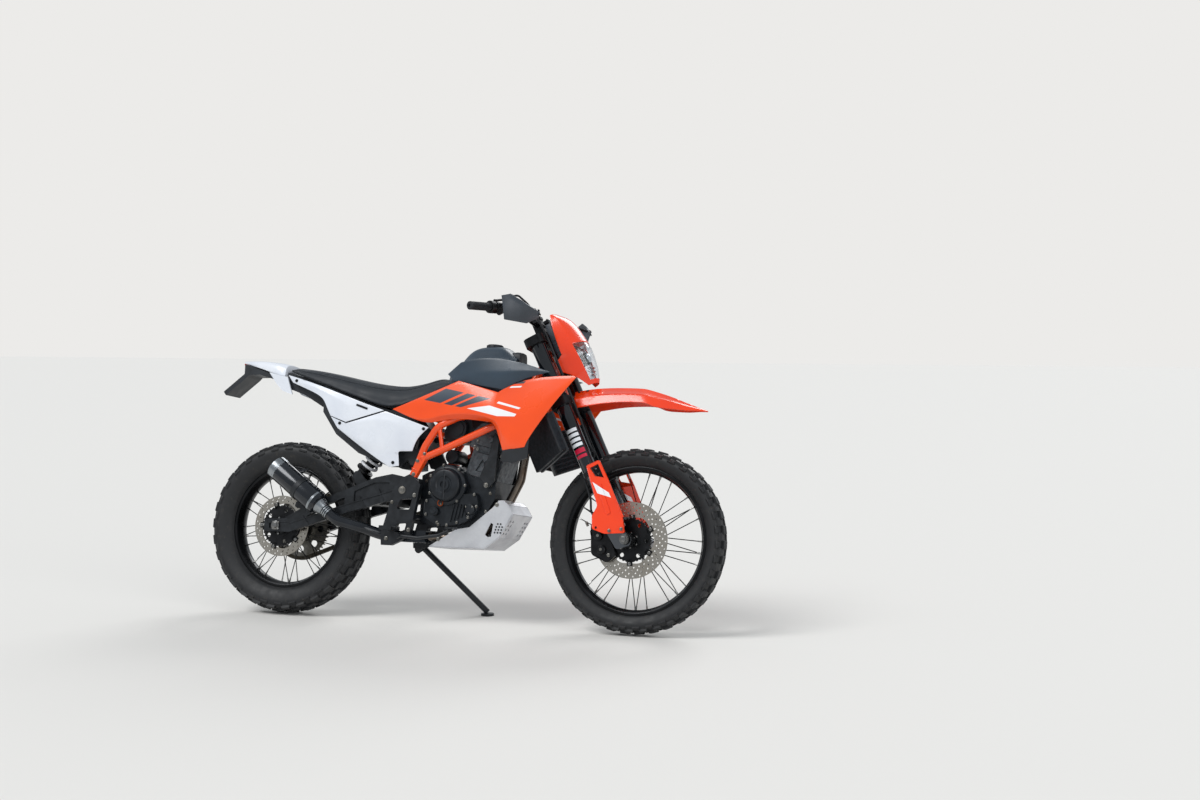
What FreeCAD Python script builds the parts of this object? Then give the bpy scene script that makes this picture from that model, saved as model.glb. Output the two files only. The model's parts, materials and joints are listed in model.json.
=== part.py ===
import FreeCAD, Part
import math
import os

import Sketcher

# Dual sport motorcycle, parked on its side stand. The machine is drawn upright:
# X forward from the rear axle, Y to the rider's left, Z up from the road.
# Pieces that steer are drawn along the steering axis, which is their own Z.
# At the end everything leans over onto the stand and moves so that the origin
# is on the ground under the middle of the machine.

os.makedirs("parts", exist_ok=True)
doc = FreeCAD.newDocument("dual_sport")

# Driving dimensions in millimetres and degrees: alias, value, meaning.
SIZES = [
    ("wheelbase", 1480, "front axle ahead of rear axle"),
    ("rake", 27.1, "steering axis from vertical, degrees"),
    ("trail", 108, "ground point of the steering axis ahead of the front axle"),
    ("lean", 9, "parked lean to the left, degrees"),
    ("steering_lock", 40, "steering each way from straight, degrees"),
    ("front_tyre_radius", 347, "out to the tips of the lugs"),
    ("front_tyre_width", 92, "across the shoulder lugs"),
    ("front_rim_radius", 279, "outer edge of the rim flange"),
    ("front_rim_width", 54, "outside width of the rim"),
    ("rear_tyre_radius", 342, "out to the tips of the lugs"),
    ("rear_tyre_width", 140, "across the shoulder lugs"),
    ("rear_rim_radius", 243, "outer edge of the rim flange"),
    ("rear_rim_width", 76, "outside width of the rim"),
    ("rim_depth", 23, "rim flange to the inside of the well"),
    ("rim_flange", 3, "thickness of the rim flange"),
    ("lug_height", 10, "tread lug above the casing"),
    ("front_lugs", 38, "lugs in each row of the front tyre"),
    ("rear_lugs", 30, "lugs in each row of the rear tyre"),
    ("spoke_radius", 1.9, "half the wire gauge"),
    ("spoke_count", 36, "spokes in each wheel"),
    ("front_disc_radius", 142.5, "front brake disc"),
    ("front_disc_offset", 68, "disc centre to the right of the wheel"),
    ("rear_disc_radius", 120, "rear brake disc"),
    ("rear_disc_offset", 80, "disc centre to the right of the wheel"),
    ("disc_thickness", 4.5, "both discs"),
    ("front_disc_band", 58, "width of the front disc's ring"),
    ("rear_disc_band", 32, "width of the rear disc's ring"),
    ("disc_clearance", 6, "caliper slot round a disc"),
    ("chain_offset", 86, "chain centre to the left of the wheel"),
    ("chain_pitch", 15.875, "link pitch"),
    ("sprocket_teeth", 48, "rear sprocket"),
    ("drive_teeth", 15, "gearbox sprocket"),
    ("leg_spacing", 106, "fork leg centre to the machine's centre"),
    ("leg_offset", 29, "fork legs ahead of the steering axis"),
    ("outer_tube_radius", 28.5, "upper fork tube"),
    ("inner_tube_radius", 21.5, "sliding fork tube"),
    ("fork_top", 1216, "top of the fork along the steering axis"),
    ("outer_tube_end", 640, "lower end of the upper tube"),
    ("yoke_upper", 1202, "middle of the upper yoke"),
    ("yoke_lower", 940, "middle of the lower yoke"),
    ("yoke_height", 34, "thickness of the yokes"),
    ("head_tube_radius", 33, "steering head outside"),
    ("stem_radius", 20, "steering stem outside"),
    ("running_gap", 0.3, "clearance at pins, stems and seats"),
    ("front_axle_radius", 12, "front axle"),
    ("rear_axle_radius", 12, "rear axle"),
    ("rear_axle_bore", 7, "hollow rear axle"),
    ("arm_inner", 100, "inner face of the swingarm's legs"),
    ("arm_thickness", 26, "width of each swingarm leg"),
    ("pivot_x", 560, "swingarm pivot ahead of the rear axle"),
    ("pivot_z", 498, "swingarm pivot above the road"),
    ("frame_half_width", 138, "frame tube centre to the middle"),
    ("frame_tube_radius", 14, "main frame tubes"),
    ("bar_half_width", 405, "handlebar end to the middle"),
    ("bar_radius", 11, "handlebar tube"),
    ("grip_radius", 16, "rubber grips"),
    ("seat_height", 909, "lowest point of the seat's top"),
    ("panel_thickness", 4, "moulded body panels"),
    ("mirror_thread_radius", 4.3, "tapped hole for a mirror stem"),
    ("plate_hole_radius", 3, "number plate screws"),
    ("plate_hole_spacing", 70, "between the number plate screws"),
    ("silencer_radius", 47, "silencer sleeve"),
    ("skid_half_width", 95, "skid plate side to the middle"),
    ("plate_gauge", 4, "skid plate sheet"),
    ("case_half_width", 88, "engine case side to the middle"),
    ("cover_depth", 32, "engine covers out from the case"),
    ("stand_pivot_x", 505, "side stand pivot ahead of the rear axle"),
    ("stand_pivot_y", 170, "side stand pivot left of the middle"),
    ("stand_pivot_z", 292, "side stand pivot above the road"),
    ("stand_foot_x", 775, "stand foot ahead of the rear axle"),
    ("stand_foot_y", 242, "stand foot left of the middle"),
    ("stand_tube_radius", 12, "side stand leg"),
    ("shock_y", -30, "shock absorber from the middle, to the left"),
    ("shock_foot_x", 308, "lower eye of the shock ahead of the rear axle"),
    ("shock_foot_z", 556, "lower eye of the shock above the road"),
    ("shock_top_x", 490, "upper eye of the shock ahead of the rear axle"),
    ("shock_top_z", 742, "upper eye of the shock above the road"),
    ("shock_body_radius", 20, "shock body"),
    ("shock_pin_radius", 6, "pins through the shock's eyes"),
    ("spring_radius", 37, "outside of the coil spring"),
    ("spring_wire", 6, "half the spring's wire"),
    ("spring_pitch", 27, "from one coil to the next"),
    ("hose_radius", 4, "brake hose"),
    ("skid_hole_radius", 5, "drain holes in the skid plate's nose"),
]

sheet = doc.addObject("Spreadsheet::Sheet", "sizes")
for row, (alias, number, meaning) in enumerate(SIZES, start=1):
    sheet.set("A%d" % row, meaning)
    sheet.set("B%d" % row, str(number))
    sheet.setAlias("B%d" % row, alias)
doc.recompute()


class Size:
    """A length that carries its value and the sheet expression it comes from."""

    def __init__(self, value, text):
        self.value = float(value)
        self.text = text

    def _with(self, other, sign, result):
        text = other.text if isinstance(other, Size) else repr(other)
        return Size(result, "(%s %s %s)" % (self.text, sign, text))

    def __add__(self, other):
        return self._with(other, "+", self.value + number_of(other))

    def __sub__(self, other):
        return self._with(other, "-", self.value - number_of(other))

    def __mul__(self, other):
        return self._with(other, "*", self.value * number_of(other))

    def __truediv__(self, other):
        return self._with(other, "/", self.value / number_of(other))

    def __neg__(self):
        return Size(-self.value, "(-1 * %s)" % self.text)


def number_of(size):
    return size.value if isinstance(size, Size) else float(size)


def size(alias):
    return Size(mm(alias), "sizes.%s" % alias)


def mm(alias):
    return float(sheet.get(alias))


# Places that several pieces share
AXIS_X = FreeCAD.Vector(1, 0, 0)
AXIS_Y = FreeCAD.Vector(0, 1, 0)
AXIS_Z = FreeCAD.Vector(0, 0, 1)
ORIGIN = FreeCAD.Vector(0, 0, 0)
rake = math.radians(mm("rake"))
gap = mm("running_gap")
rear_hub = FreeCAD.Vector(0, 0, mm("rear_tyre_radius"))
front_hub = FreeCAD.Vector(mm("wheelbase"), 0, mm("front_tyre_radius"))
pivot = FreeCAD.Vector(mm("pivot_x"), 0, mm("pivot_z"))
steering = FreeCAD.Placement(
    FreeCAD.Vector(mm("wheelbase") + mm("trail"), 0, 0),
    FreeCAD.Rotation(AXIS_Y, -mm("rake")))
axle_ahead = mm("front_tyre_radius") * math.sin(rake) - mm("trail") * math.cos(rake)
axle_along = mm("front_tyre_radius") * math.cos(rake) + mm("trail") * math.sin(rake)
lean = FreeCAD.Placement(ORIGIN, FreeCAD.Rotation(AXIS_X, -mm("lean")))

nodes = []


def add_node(piece, local=FreeCAD.Placement()):
    """Keep a finished piece, with the place it has on the upright machine."""
    nodes.append((piece, local))
    return piece


def feature(name, shape, local=FreeCAD.Placement()):
    piece = doc.addObject("Part::Feature", name)
    piece.Label = name
    piece.Shape = shape
    return add_node(piece, local)


def vec(x, y, z):
    return FreeCAD.Vector(x, y, z)


def rod(start, end, radius):
    return Part.makeCylinder(radius, (end - start).Length, start, end - start)


def pipe(start, end, radius, bore):
    return rod(start, end, radius).cut(rod(start, end, bore))


def bent_path(points, bend):
    """Straight runs joined by tangent arcs of one radius, limited by the runs."""
    edges = []
    last = points[0]
    for before, corner, after in zip(points, points[1:], points[2:]):
        toward = (before - corner).normalize()
        onward = (after - corner).normalize()
        half = toward.getAngle(onward) / 2
        room = 0.45 * min((before - corner).Length, (after - corner).Length)
        reach = min(bend / math.tan(half), room)
        radius = reach * math.tan(half)
        middle = (toward + onward).normalize()
        centre = corner + middle * (radius / math.sin(half))
        begin = corner + toward * reach
        finish = corner + onward * reach
        edges.append(Part.makeLine(last, begin))
        edges.append(Part.Arc(begin, centre - middle * radius, finish).toShape())
        last = finish
    edges.append(Part.makeLine(last, points[-1]))
    return Part.Wire(edges)


def bent_rod(points, radius, bend):
    path = bent_path(points, bend)
    ring = Part.Wire(Part.makeCircle(radius, points[0], points[1] - points[0]))
    return path.makePipeShell([ring], True, True)


def outline(points, place):
    """Closed wire through (a, b) or (a, b, corner radius) points."""
    corners = [place(*point[:2]) for point in points]
    edges = []
    starts = []
    ends = []
    for index, point in enumerate(points):
        corner = corners[index]
        toward = corners[index - 1] - corner
        onward = corners[(index + 1) % len(points)] - corner
        if len(point) < 3:
            starts.append(corner)
            ends.append(corner)
            edges.append(None)
            continue
        toward.normalize()
        onward.normalize()
        half = toward.getAngle(onward) / 2
        reach = point[2] / math.tan(half)
        middle = (toward + onward).normalize()
        centre = corner + middle * (point[2] / math.sin(half))
        starts.append(corner + toward * reach)
        ends.append(corner + onward * reach)
        edges.append(Part.Arc(starts[-1], centre - middle * point[2], ends[-1]).toShape())
    wire = []
    for index in range(len(points)):
        if edges[index]:
            wire.append(edges[index])
        wire.append(Part.makeLine(ends[index], starts[(index + 1) % len(points)]))
    return Part.Wire(wire)


def side_plate(points, inner, outer):
    """Plate of a side-view outline, from one Y to another."""
    wire = outline(points, lambda x, z: vec(x, inner, z))
    return Part.Face(wire).extrude(vec(0, outer - inner, 0))


def mirror(shape):
    return shape.mirror(ORIGIN, AXIS_Y)


def both_sides(shape):
    return Part.makeCompound([shape, mirror(shape)])


def fuse(first, *rest):
    return first.multiFuse(list(rest)).removeSplitter()


def stations(sections):
    """Loft with flat facets through cross sections: x and its half outline.

    Each half outline runs from the top centre out and round to the bottom
    centre; the other half is its mirror image."""
    rings = []
    for x, half in sections:
        rings.append([vec(x, y, z) for y, z in half]
                     + [vec(x, -y, z) for y, z in reversed(half) if y])
    return facets_through(rings)


def facets_through(rings):
    """Solid with flat three-cornered facets between matching closed rings.

    The second half of each ring mirrors the first, so its facets do too."""
    faces = [flat_face(rings[0]), flat_face(rings[-1])]
    count = len(rings[0])
    for ring, after in zip(rings, rings[1:]):
        for index in range(count):
            other = (index + 1) % count
            near, far = (index, other) if index < count / 2 else (other, index)
            faces.append(flat_face([ring[near], ring[far], after[far]]))
            faces.append(flat_face([ring[near], after[far], after[near]]))
    return outward(Part.Solid(Part.Shell(faces)))


def outward(solid):
    """The same solid with its faces pointing out."""
    if solid.Volume < 0:
        solid.reverse()
    return solid


def panel(points, faces, push):
    """Moulded panel: flat facets through named corners, thickened along push.

    points maps a letter to (x, y, z); faces are strings of those letters."""
    inner = {key: vec(*place) + push for key, place in points.items()}
    outer = {key: vec(*place) for key, place in points.items()}
    sides = {}
    shell = []
    for face in faces:
        for first, second in zip(face, face[1:] + face[0]):
            if (second, first) in sides:
                del sides[(second, first)]
            else:
                sides[(first, second)] = True
        for corner in range(1, len(face) - 1):
            names = face[0] + face[corner:corner + 2]
            shell.append(flat_face([outer[name] for name in names]))
            shell.append(flat_face([inner[name] for name in names]))
    for first, second in sides:
        shell.append(flat_face([outer[first], outer[second], inner[second], inner[first]]))
    return outward(Part.Solid(Part.Shell(shell)))


def flat_face(corners):
    return Part.Face(Part.makePolygon(corners + corners[:1]))


def origin_plane(body, role):
    return next(item for item in body.Origin.OriginFeatures if item.Role == role)


def turned_body(name, profile):
    """Body turned about its own Y axis from (radius, offset) sizes."""
    body = doc.addObject("PartDesign::Body", name)
    body.Label = name
    sketch = body.newObject("Sketcher::SketchObject", name + "_profile")
    sketch.AttachmentSupport = [(origin_plane(body, "XY_Plane"), "")]
    sketch.MapMode = "FlatFace"
    places = [vec(number_of(radius), number_of(offset), 0) for radius, offset in profile]
    for start, end in zip(places, places[1:] + places[:1]):
        sketch.addGeometry(Part.LineSegment(start, end), False)
    count = len(places)
    for index in range(count):
        sketch.addConstraint(Sketcher.Constraint("Coincident", index, 2, (index + 1) % count, 1))
    for index, (radius, offset) in enumerate(profile):
        for kind, length in (("DistanceX", radius), ("DistanceY", offset)):
            place = sketch.addConstraint(
                Sketcher.Constraint(kind, -1, 1, index, 1, number_of(length)))
            if isinstance(length, Size):
                sketch.setExpression("Constraints[%d]" % place, length.text)
    turn = body.newObject("PartDesign::Revolution", name + "_turn")
    turn.Profile = sketch
    turn.ReferenceAxis = (sketch, ["V_Axis"])
    turn.Angle = 360
    body.Tip = turn
    return body


def disc_of(radius, centre, thickness):
    """Round plate about a cross axis, centred on a point."""
    return Part.makeCylinder(radius, thickness, centre - AXIS_Y * (thickness / 2), AXIS_Y)


def around(shape, count, centre, axis=AXIS_Y):
    copies = []
    for index in range(count):
        copy = shape.copy()
        copy.rotate(centre, axis, index * 360.0 / count)
        copies.append(copy)
    return copies


# Wheels. Each is drawn about its own centre: the rim is turned, the hub carries
# the spokes, and a wire's end passes through the rim's well.

at_front = FreeCAD.Placement(front_hub, FreeCAD.Rotation())
at_rear = FreeCAD.Placement(rear_hub, FreeCAD.Rotation())



def tread_rows(end):
    """Rows of lugs: half width from, to, height below the tyre's radius, turn.

    The rows fall away to the shoulders, so a leaning tyre stands near its crown."""
    half = mm(end + "_tyre_width") / 2
    rows = {"front": [(-0.40, 0.40, 0, 0), (0.50, 0.88, 8, 0.5)],
            "rear": [(-0.28, 0.28, 0, 0), (0.36, 0.60, 5, 0.5), (0.68, 0.93, 13, 0)]}[end]
    return [(low * half, high * half, drop, turn) for low, high, drop, turn in rows]


def tread(end):
    """Rings of flat-sided lugs that stand on the tyre's casing."""
    radius = mm(end + "_tyre_radius")
    count = int(mm(end + "_lugs"))
    rings = []
    for low, high, drop, turn in tread_rows(end):
        tip = radius - drop
        root = tip - mm("lug_height") * 1.9
        corners = []
        for index in range(count):
            for share, reach in ((-0.34, root), (-0.27, tip), (0.27, tip), (0.34, root)):
                angle = 2 * math.pi * (index + turn + share) / count
                corners.append(vec(reach * math.cos(angle), low, reach * math.sin(angle)))
        ring = flat_face(corners).extrude(AXIS_Y * (high - low))
        inside = Part.makeCylinder(root - mm("lug_height"), high - low, AXIS_Y * low, AXIS_Y)
        ring = ring.cut(inside)
        rings += [ring] if low < 0 else [ring, mirror(ring)]
    return Part.makeCompound(rings)


for end, place in (("front", at_front), ("rear", at_rear)):
    casing = size(end + "_tyre_radius") - size("lug_height")
    half_tyre = size(end + "_tyre_width") / 2
    rim_radius = size(end + "_rim_radius")
    half_rim = size(end + "_rim_width") / 2
    flange = size("rim_flange")
    depth = size("rim_depth")
    bead = half_rim - flange
    seat_gap = size("running_gap")
    right_side = [
        (rim_radius - 8, -bead + 2.2),
        (rim_radius + seat_gap, -bead + seat_gap),
        (rim_radius + seat_gap, -half_rim),
        (rim_radius + 20, -half_tyre + 4),
        (casing - 26, -half_tyre),
        (casing - 8, -half_tyre * 0.84),
        (casing, -half_tyre * 0.42),
    ]
    left_side = [(radius, -offset) for radius, offset in reversed(right_side)]
    carcass = turned_body(end + "_casing", right_side + left_side)
    lugs = doc.addObject("Part::Feature", end + "_tread")
    lugs.Shape = tread(end)
    tyre = doc.addObject("Part::MultiFuse", end + "_tyre")
    tyre.Label = end + "_tyre"
    tyre.Shapes = [carcass, lugs]
    add_node(tyre, place)
    add_node(turned_body(end + "_rim", [
        (rim_radius, -half_rim), (rim_radius, -bead),
        (rim_radius - depth * 0.45, -bead + 2),
        (rim_radius - depth + 4, -half_rim * 0.36),
        (rim_radius - depth + 4, half_rim * 0.36),
        (rim_radius - depth * 0.45, bead - 2),
        (rim_radius, bead), (rim_radius, half_rim),
        (rim_radius - depth * 0.5, half_rim),
        (rim_radius - depth, half_rim * 0.42),
        (rim_radius - depth, -half_rim * 0.42),
        (rim_radius - depth * 0.5, -half_rim),
    ]), place)

# Hub: radius, half length, flange radius, flange place, for each wheel
HUBS = {
    "front": (26, 58, 38, 33),
    "rear": (30, 66, 46, 40),
}


def laced_hub(end):
    barrel, half_length, flange_radius, flange_place = HUBS[end]
    bore = mm(end + "_axle_radius") + gap
    hub = disc_of(barrel, ORIGIN, 2 * half_length)
    rims = [disc_of(flange_radius, AXIS_Y * side * flange_place, 7) for side in (-1, 1)]
    well = mm(end + "_rim_radius") - mm("rim_depth") + 2
    pairs = int(mm("spoke_count")) // 4
    wires = []
    for side in (-1, 1):
        for lead in (-1, 1):
            start = vec(flange_radius - 4, side * (flange_place + lead * 2), 0)
            angle = math.radians(lead * 38)
            finish = vec(well * math.cos(angle), side * lead * 3 + side * 4,
                         well * math.sin(angle))
            wire = rod(start, finish, mm("spoke_radius"))
            wire.rotate(ORIGIN, AXIS_Y, (side + 1) * 90.0 / pairs / 2 + (lead + 1) * 3)
            wires += around(wire, pairs, ORIGIN)
    return fuse(hub, *rims, *wires).cut(disc_of(bore, ORIGIN, 4 * half_length))


feature("front_hub", laced_hub("front"), at_front)
feature("rear_hub", laced_hub("rear"), at_rear)


def brake_disc(end, arms, boss_radius):
    """Ring on a carrier with one arm for each rivet, and a boss on the hub."""
    radius = mm(end + "_disc_radius")
    centre = AXIS_Y * -mm(end + "_disc_offset")
    thickness = mm("disc_thickness")
    inside = radius - mm(end + "_disc_band")
    band = disc_of(radius, centre, thickness).cut(disc_of(inside, centre, thickness * 2))
    carrier = disc_of(inside - 9, centre, thickness)
    arm = Part.makeBox(21, thickness, 16, vec(inside - 15, centre.y - thickness / 2, -8))
    holes = around(disc_of(9, centre + AXIS_X * (inside - 24), thickness * 2), arms, centre)
    carrier = carrier.cut(Part.makeCompound(holes))
    hub_half = HUBS[end][1]
    reach = mm(end + "_disc_offset") - thickness / 2 - hub_half
    boss = disc_of(boss_radius, AXIS_Y * -(hub_half + reach / 2), reach)
    hole = disc_of(mm(end + "_axle_radius") + gap, ORIGIN, 400)
    return fuse(band, carrier, boss, *around(arm, arms, ORIGIN)).cut(hole)


feature("front_disc", brake_disc("front", 6, 34), at_front)
feature("rear_disc", brake_disc("rear", 5, 40), at_rear)


def toothed_wheel(teeth, thickness, centre):
    """Sprocket blank with one flat-topped tooth to each chain pitch."""
    pitch_radius = mm("chain_pitch") / 2 / math.sin(math.pi / teeth)
    root = pitch_radius - 5.5
    tip = pitch_radius + 3.5
    points = []
    for index in range(int(teeth)):
        for turn, radius in ((-0.30, root), (-0.10, tip), (0.10, tip), (0.30, root)):
            angle = 2 * math.pi * (index + turn) / teeth
            points.append(centre + vec(radius * math.cos(angle), -thickness / 2,
                                       radius * math.sin(angle)))
    return flat_face(points).extrude(AXIS_Y * thickness)


def rear_sprocket():
    centre = AXIS_Y * mm("chain_offset")
    blank = toothed_wheel(mm("sprocket_teeth"), 6, centre)
    window = disc_of(14, centre + AXIS_X * 84, 20)
    hub_half = HUBS["rear"][1]
    reach = mm("chain_offset") - 3 - hub_half
    boss = disc_of(56, AXIS_Y * (hub_half + reach / 2), reach)
    hole = disc_of(mm("rear_axle_radius") + gap, ORIGIN, 400)
    return fuse(blank.cut(Part.makeCompound(around(window, 8, centre))), boss).cut(hole)


feature("rear_sprocket", rear_sprocket(), at_rear)

# Axles
front_axle_half = mm("leg_spacing") + 34
rear_axle_half = mm("arm_inner") + mm("arm_thickness") + 12


def cylinder_across(name, radius, half_length):
    piece = doc.addObject("Part::Cylinder", name)
    piece.setExpression("Radius", radius.text)
    piece.setExpression("Height", (half_length * 2).text)
    piece.Placement = FreeCAD.Placement(
        vec(0, -half_length.value, 0), FreeCAD.Rotation(AXIS_X, -90))
    return piece


axle_outside = cylinder_across("rear_axle_outside", size("rear_axle_radius"),
                               size("arm_inner") + size("arm_thickness") + 12)
axle_inside = cylinder_across("rear_axle_inside", size("rear_axle_bore"),
                              size("arm_inner") + size("arm_thickness") + 20)
rear_axle = doc.addObject("Part::Cut", "rear_axle")
rear_axle.Base = axle_outside
rear_axle.Tool = axle_inside
rear_axle.Label = "rear_axle"
add_node(rear_axle, at_rear)


def front_axle():
    shaft = disc_of(mm("front_axle_radius"), ORIGIN, 2 * front_axle_half)
    nut = disc_of(17, AXIS_Y * -(front_axle_half + 6), 12)
    spacer = disc_of(20, AXIS_Y * (HUBS["front"][1] + 8), 10)
    return fuse(shaft, nut, spacer)


feature("front_axle", front_axle(), at_front)

# Swingarm: two cast legs from the pivot to the axle and a bridge ahead of the tyre
arm_in = mm("arm_inner")
arm_out = arm_in + mm("arm_thickness")


bridge_top = 488
shock_y = mm("shock_y")
shock_foot = vec(mm("shock_foot_x"), shock_y, mm("shock_foot_z"))
shock_top = vec(mm("shock_top_x"), shock_y, mm("shock_top_z"))
shock_eye = 22


def swingarm():
    leg = side_plate([
        (-52, 318), (60, 318), (300, 400), (480, 452), (560, 468),
        (596, 500), (585, 545), (500, 560), (430, 545), (200, 452),
        (60, 372), (-52, 366)], arm_in, arm_out)
    window = side_plate([(120, 372), (300, 430), (300, 462), (215, 430)], arm_in - 5, arm_out + 5)
    pockets = [side_plate(corners, arm_out - 6, arm_out + 5) for corners in (
        [(340, 442, 6), (455, 474, 6), (500, 528, 6), (425, 524, 6), (340, 488, 6)],
        [(-30, 330, 5), (-17, 330, 5), (-17, 356, 5), (-30, 356, 5)])]
    bridge = Part.makeBox(130, 2 * arm_in, bridge_top - 440, vec(340, -arm_in, 440))
    tube = fuse(rod(pivot - AXIS_Y * arm_in, pivot + AXIS_Y * arm_in, 16),
                rod(pivot - AXIS_Y * 68, pivot + AXIS_Y * 68, 26))
    clevis = [side_plate([
        (shock_foot.x - 16, shock_foot.z - 6, 6), (shock_foot.x - 6, shock_foot.z + 16, 8),
        (shock_foot.x + 16, shock_foot.z + 14, 8), (396, bridge_top - 4), (340, bridge_top - 20)],
        shock_y + side * (shock_eye + gap), shock_y + side * (shock_eye + 8)) for side in (-1, 1)]
    pin = rod(shock_foot - AXIS_Y * (shock_eye + 6), shock_foot + AXIS_Y * (shock_eye + 6),
              mm("shock_pin_radius"))
    slot = disc_of(mm("rear_axle_radius") + gap, rear_hub, 400)
    bolt = disc_of(9 + gap, pivot, 400)
    leg = leg.cut(Part.makeCompound([window] + pockets))
    return fuse(leg, mirror(leg), bridge, tube, pin, *clevis).cut(slot).cut(bolt)


feature("swingarm", swingarm())

# Frame: a trellis of round tubes from the steering head down to the pivot castings
tube_y = mm("frame_half_width")
tube_r = mm("frame_tube_radius")
tank_floor = 850
head_low = steering.multVec(vec(0, 0, mm("yoke_lower") + 24))
head_high = steering.multVec(vec(0, 0, mm("yoke_upper") - 24))


def frame():
    head = rod(head_low, head_high, mm("head_tube_radius"))
    upper = bent_rod([
        vec(606, tube_y, 575), vec(640, tube_y, 668), vec(690, tube_y, 748),
        vec(770, tube_y - 6, 785), vec(1000, 90, 832),
        head_high - AXIS_Z * 60 + AXIS_Y * 10], tube_r, 90)
    lower = bent_rod([
        vec(632, tube_y, 622), vec(716, tube_y, 658), vec(916, tube_y, 750),
        vec(1040, 60, 830), head_low + AXIS_Z * 18 + AXIS_Y * 10], tube_r, 90)
    strut = rod(vec(697, tube_y, 745), vec(714, tube_y, 660), 8)
    plate = side_plate([(588, 560), (612, 548), (662, 640), (632, 655)],
                       tube_y - 12, tube_y + 12)
    half = fuse(upper, lower, strut, plate)
    saddle = vec(930, 102, tank_floor - gap - 12)
    cross = rod(vec(saddle.x, -saddle.y, saddle.z), saddle, 12)
    shelf = rod(vec(672, -tube_y, 722), vec(672, tube_y, 722), 11)
    ear_y = shock_eye + 10
    ears = [rod(vec(672, shock_y + side * ear_y, 722), shock_top + AXIS_Y * side * ear_y, 9)
            for side in (-1, 1)]
    pin = rod(shock_top - AXIS_Y * ear_y, shock_top + AXIS_Y * ear_y, mm("shock_pin_radius"))
    bore = rod(head_low - (head_high - head_low), head_high + (head_high - head_low),
               mm("stem_radius") + gap)
    return fuse(head, half, mirror(half), cross, shelf, pin, *ears).cut(bore)


feature("frame", frame())

# Pivot castings: black plates from the trellis down to the footpegs, tied by
# tubes above and below the gearbox; the side stand's lug is on the left one.
case_half = mm("case_half_width")
plate_in = mm("frame_half_width") - 10
plate_out = mm("frame_half_width") + 12
stand_pivot = vec(mm("stand_pivot_x"), mm("stand_pivot_y"), mm("stand_pivot_z"))
ground_drop = math.sin(math.radians(mm("lean")))
ground_cos = math.cos(math.radians(mm("lean")))


def ground_under(y):
    """Height of the ground in the upright machine, under a point at this y.

    The round crowns of the tyres settle a little as the machine leans."""
    crown = mm("front_tyre_width") / 2
    settle = (mm("front_tyre_radius") - crown) * (1 - ground_cos)
    return (y * ground_drop - settle) / ground_cos


stand_foot = vec(mm("stand_foot_x"), mm("stand_foot_y"), ground_under(mm("stand_foot_y")))
stand_down = (stand_foot - stand_pivot).normalize()
stand_up = vec(-365, 34, 20).normalize()
stand_axis = stand_down.cross(stand_up).normalize()
stand_eye = 12.5


def pivot_castings():
    half = side_plate([
        (588, 560), (556, 545), (520, 500), (505, 420), (480, 330), (484, 284),
        (526, 284), (560, 300), (606, 330), (620, 430), (636, 520), (612, 548)],
        plate_in, plate_out)
    windows = [side_plate(corners, plate_in - 5, plate_out + 5) for corners in (
        [(540, 318, 6), (580, 338, 6), (588, 372, 6), (546, 368, 6)],
        [(540, 424, 6), (596, 424, 6), (606, 466, 6), (556, 462, 6)])]
    half = half.cut(Part.makeCompound(windows))
    tie = rod(vec(518, -plate_in, 392), vec(518, plate_in, 392), 13)
    boss = rod(vec(612, case_half + gap, 398), vec(612, plate_in, 398), 10)
    bolt = rod(pivot - AXIS_Y * plate_out, pivot + AXIS_Y * plate_out, 9)
    lug = rod(stand_pivot - stand_axis * (stand_eye + gap),
              stand_pivot - stand_axis * (stand_eye + 24), 15)
    pin = rod(stand_pivot - stand_axis * (stand_eye + 6),
              stand_pivot + stand_axis * (stand_eye + 7), 6)
    return fuse(half, mirror(half), bolt, lug, pin, tie, boss, mirror(boss))


feature("pivot_castings", pivot_castings())


# Side stand: an eye on the lug's pin, a tube and a flat foot on the ground
def side_stand():
    eye = rod(stand_pivot - stand_axis * stand_eye, stand_pivot + stand_axis * stand_eye, 15)
    leg = rod(stand_pivot + stand_down * 8, stand_foot + AXIS_Z * 14, mm("stand_tube_radius"))
    sole_normal = vec(0, -ground_drop, ground_cos)
    foot = Part.makeCylinder(26, 9, stand_foot, sole_normal)
    under = Part.makeCylinder(120, 60, stand_foot - sole_normal * 60, sole_normal)
    hole = rod(stand_pivot - stand_axis * 40, stand_pivot + stand_axis * 40, 6 + gap)
    return fuse(eye, leg, foot).cut(under).cut(hole)


feature("side_stand", side_stand())


drive_centre = vec(632, 0, 505)

# Engine: a single with its cylinder leaning forward, its cases and side covers
def engine_case():
    block = side_plate([
        (640, 575), (740, 605), (830, 560), (925, 545), (925, 480), (880, 400),
        (845, 365), (720, 350), (612, 385), (612, 560)], -case_half, case_half)
    chain_room = Part.makeBox(130, 40, 180, vec(565, case_half - 16, 425))
    shaft = rod(drive_centre + AXIS_Y * (case_half - 20),
                drive_centre + AXIS_Y * (mm("chain_offset") + 3), 12)
    drive = disc_of(33, drive_centre + AXIS_Y * mm("chain_offset"), 6)
    return fuse(block.cut(chain_room), shaft, drive)


feature("engine_case", engine_case())


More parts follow.
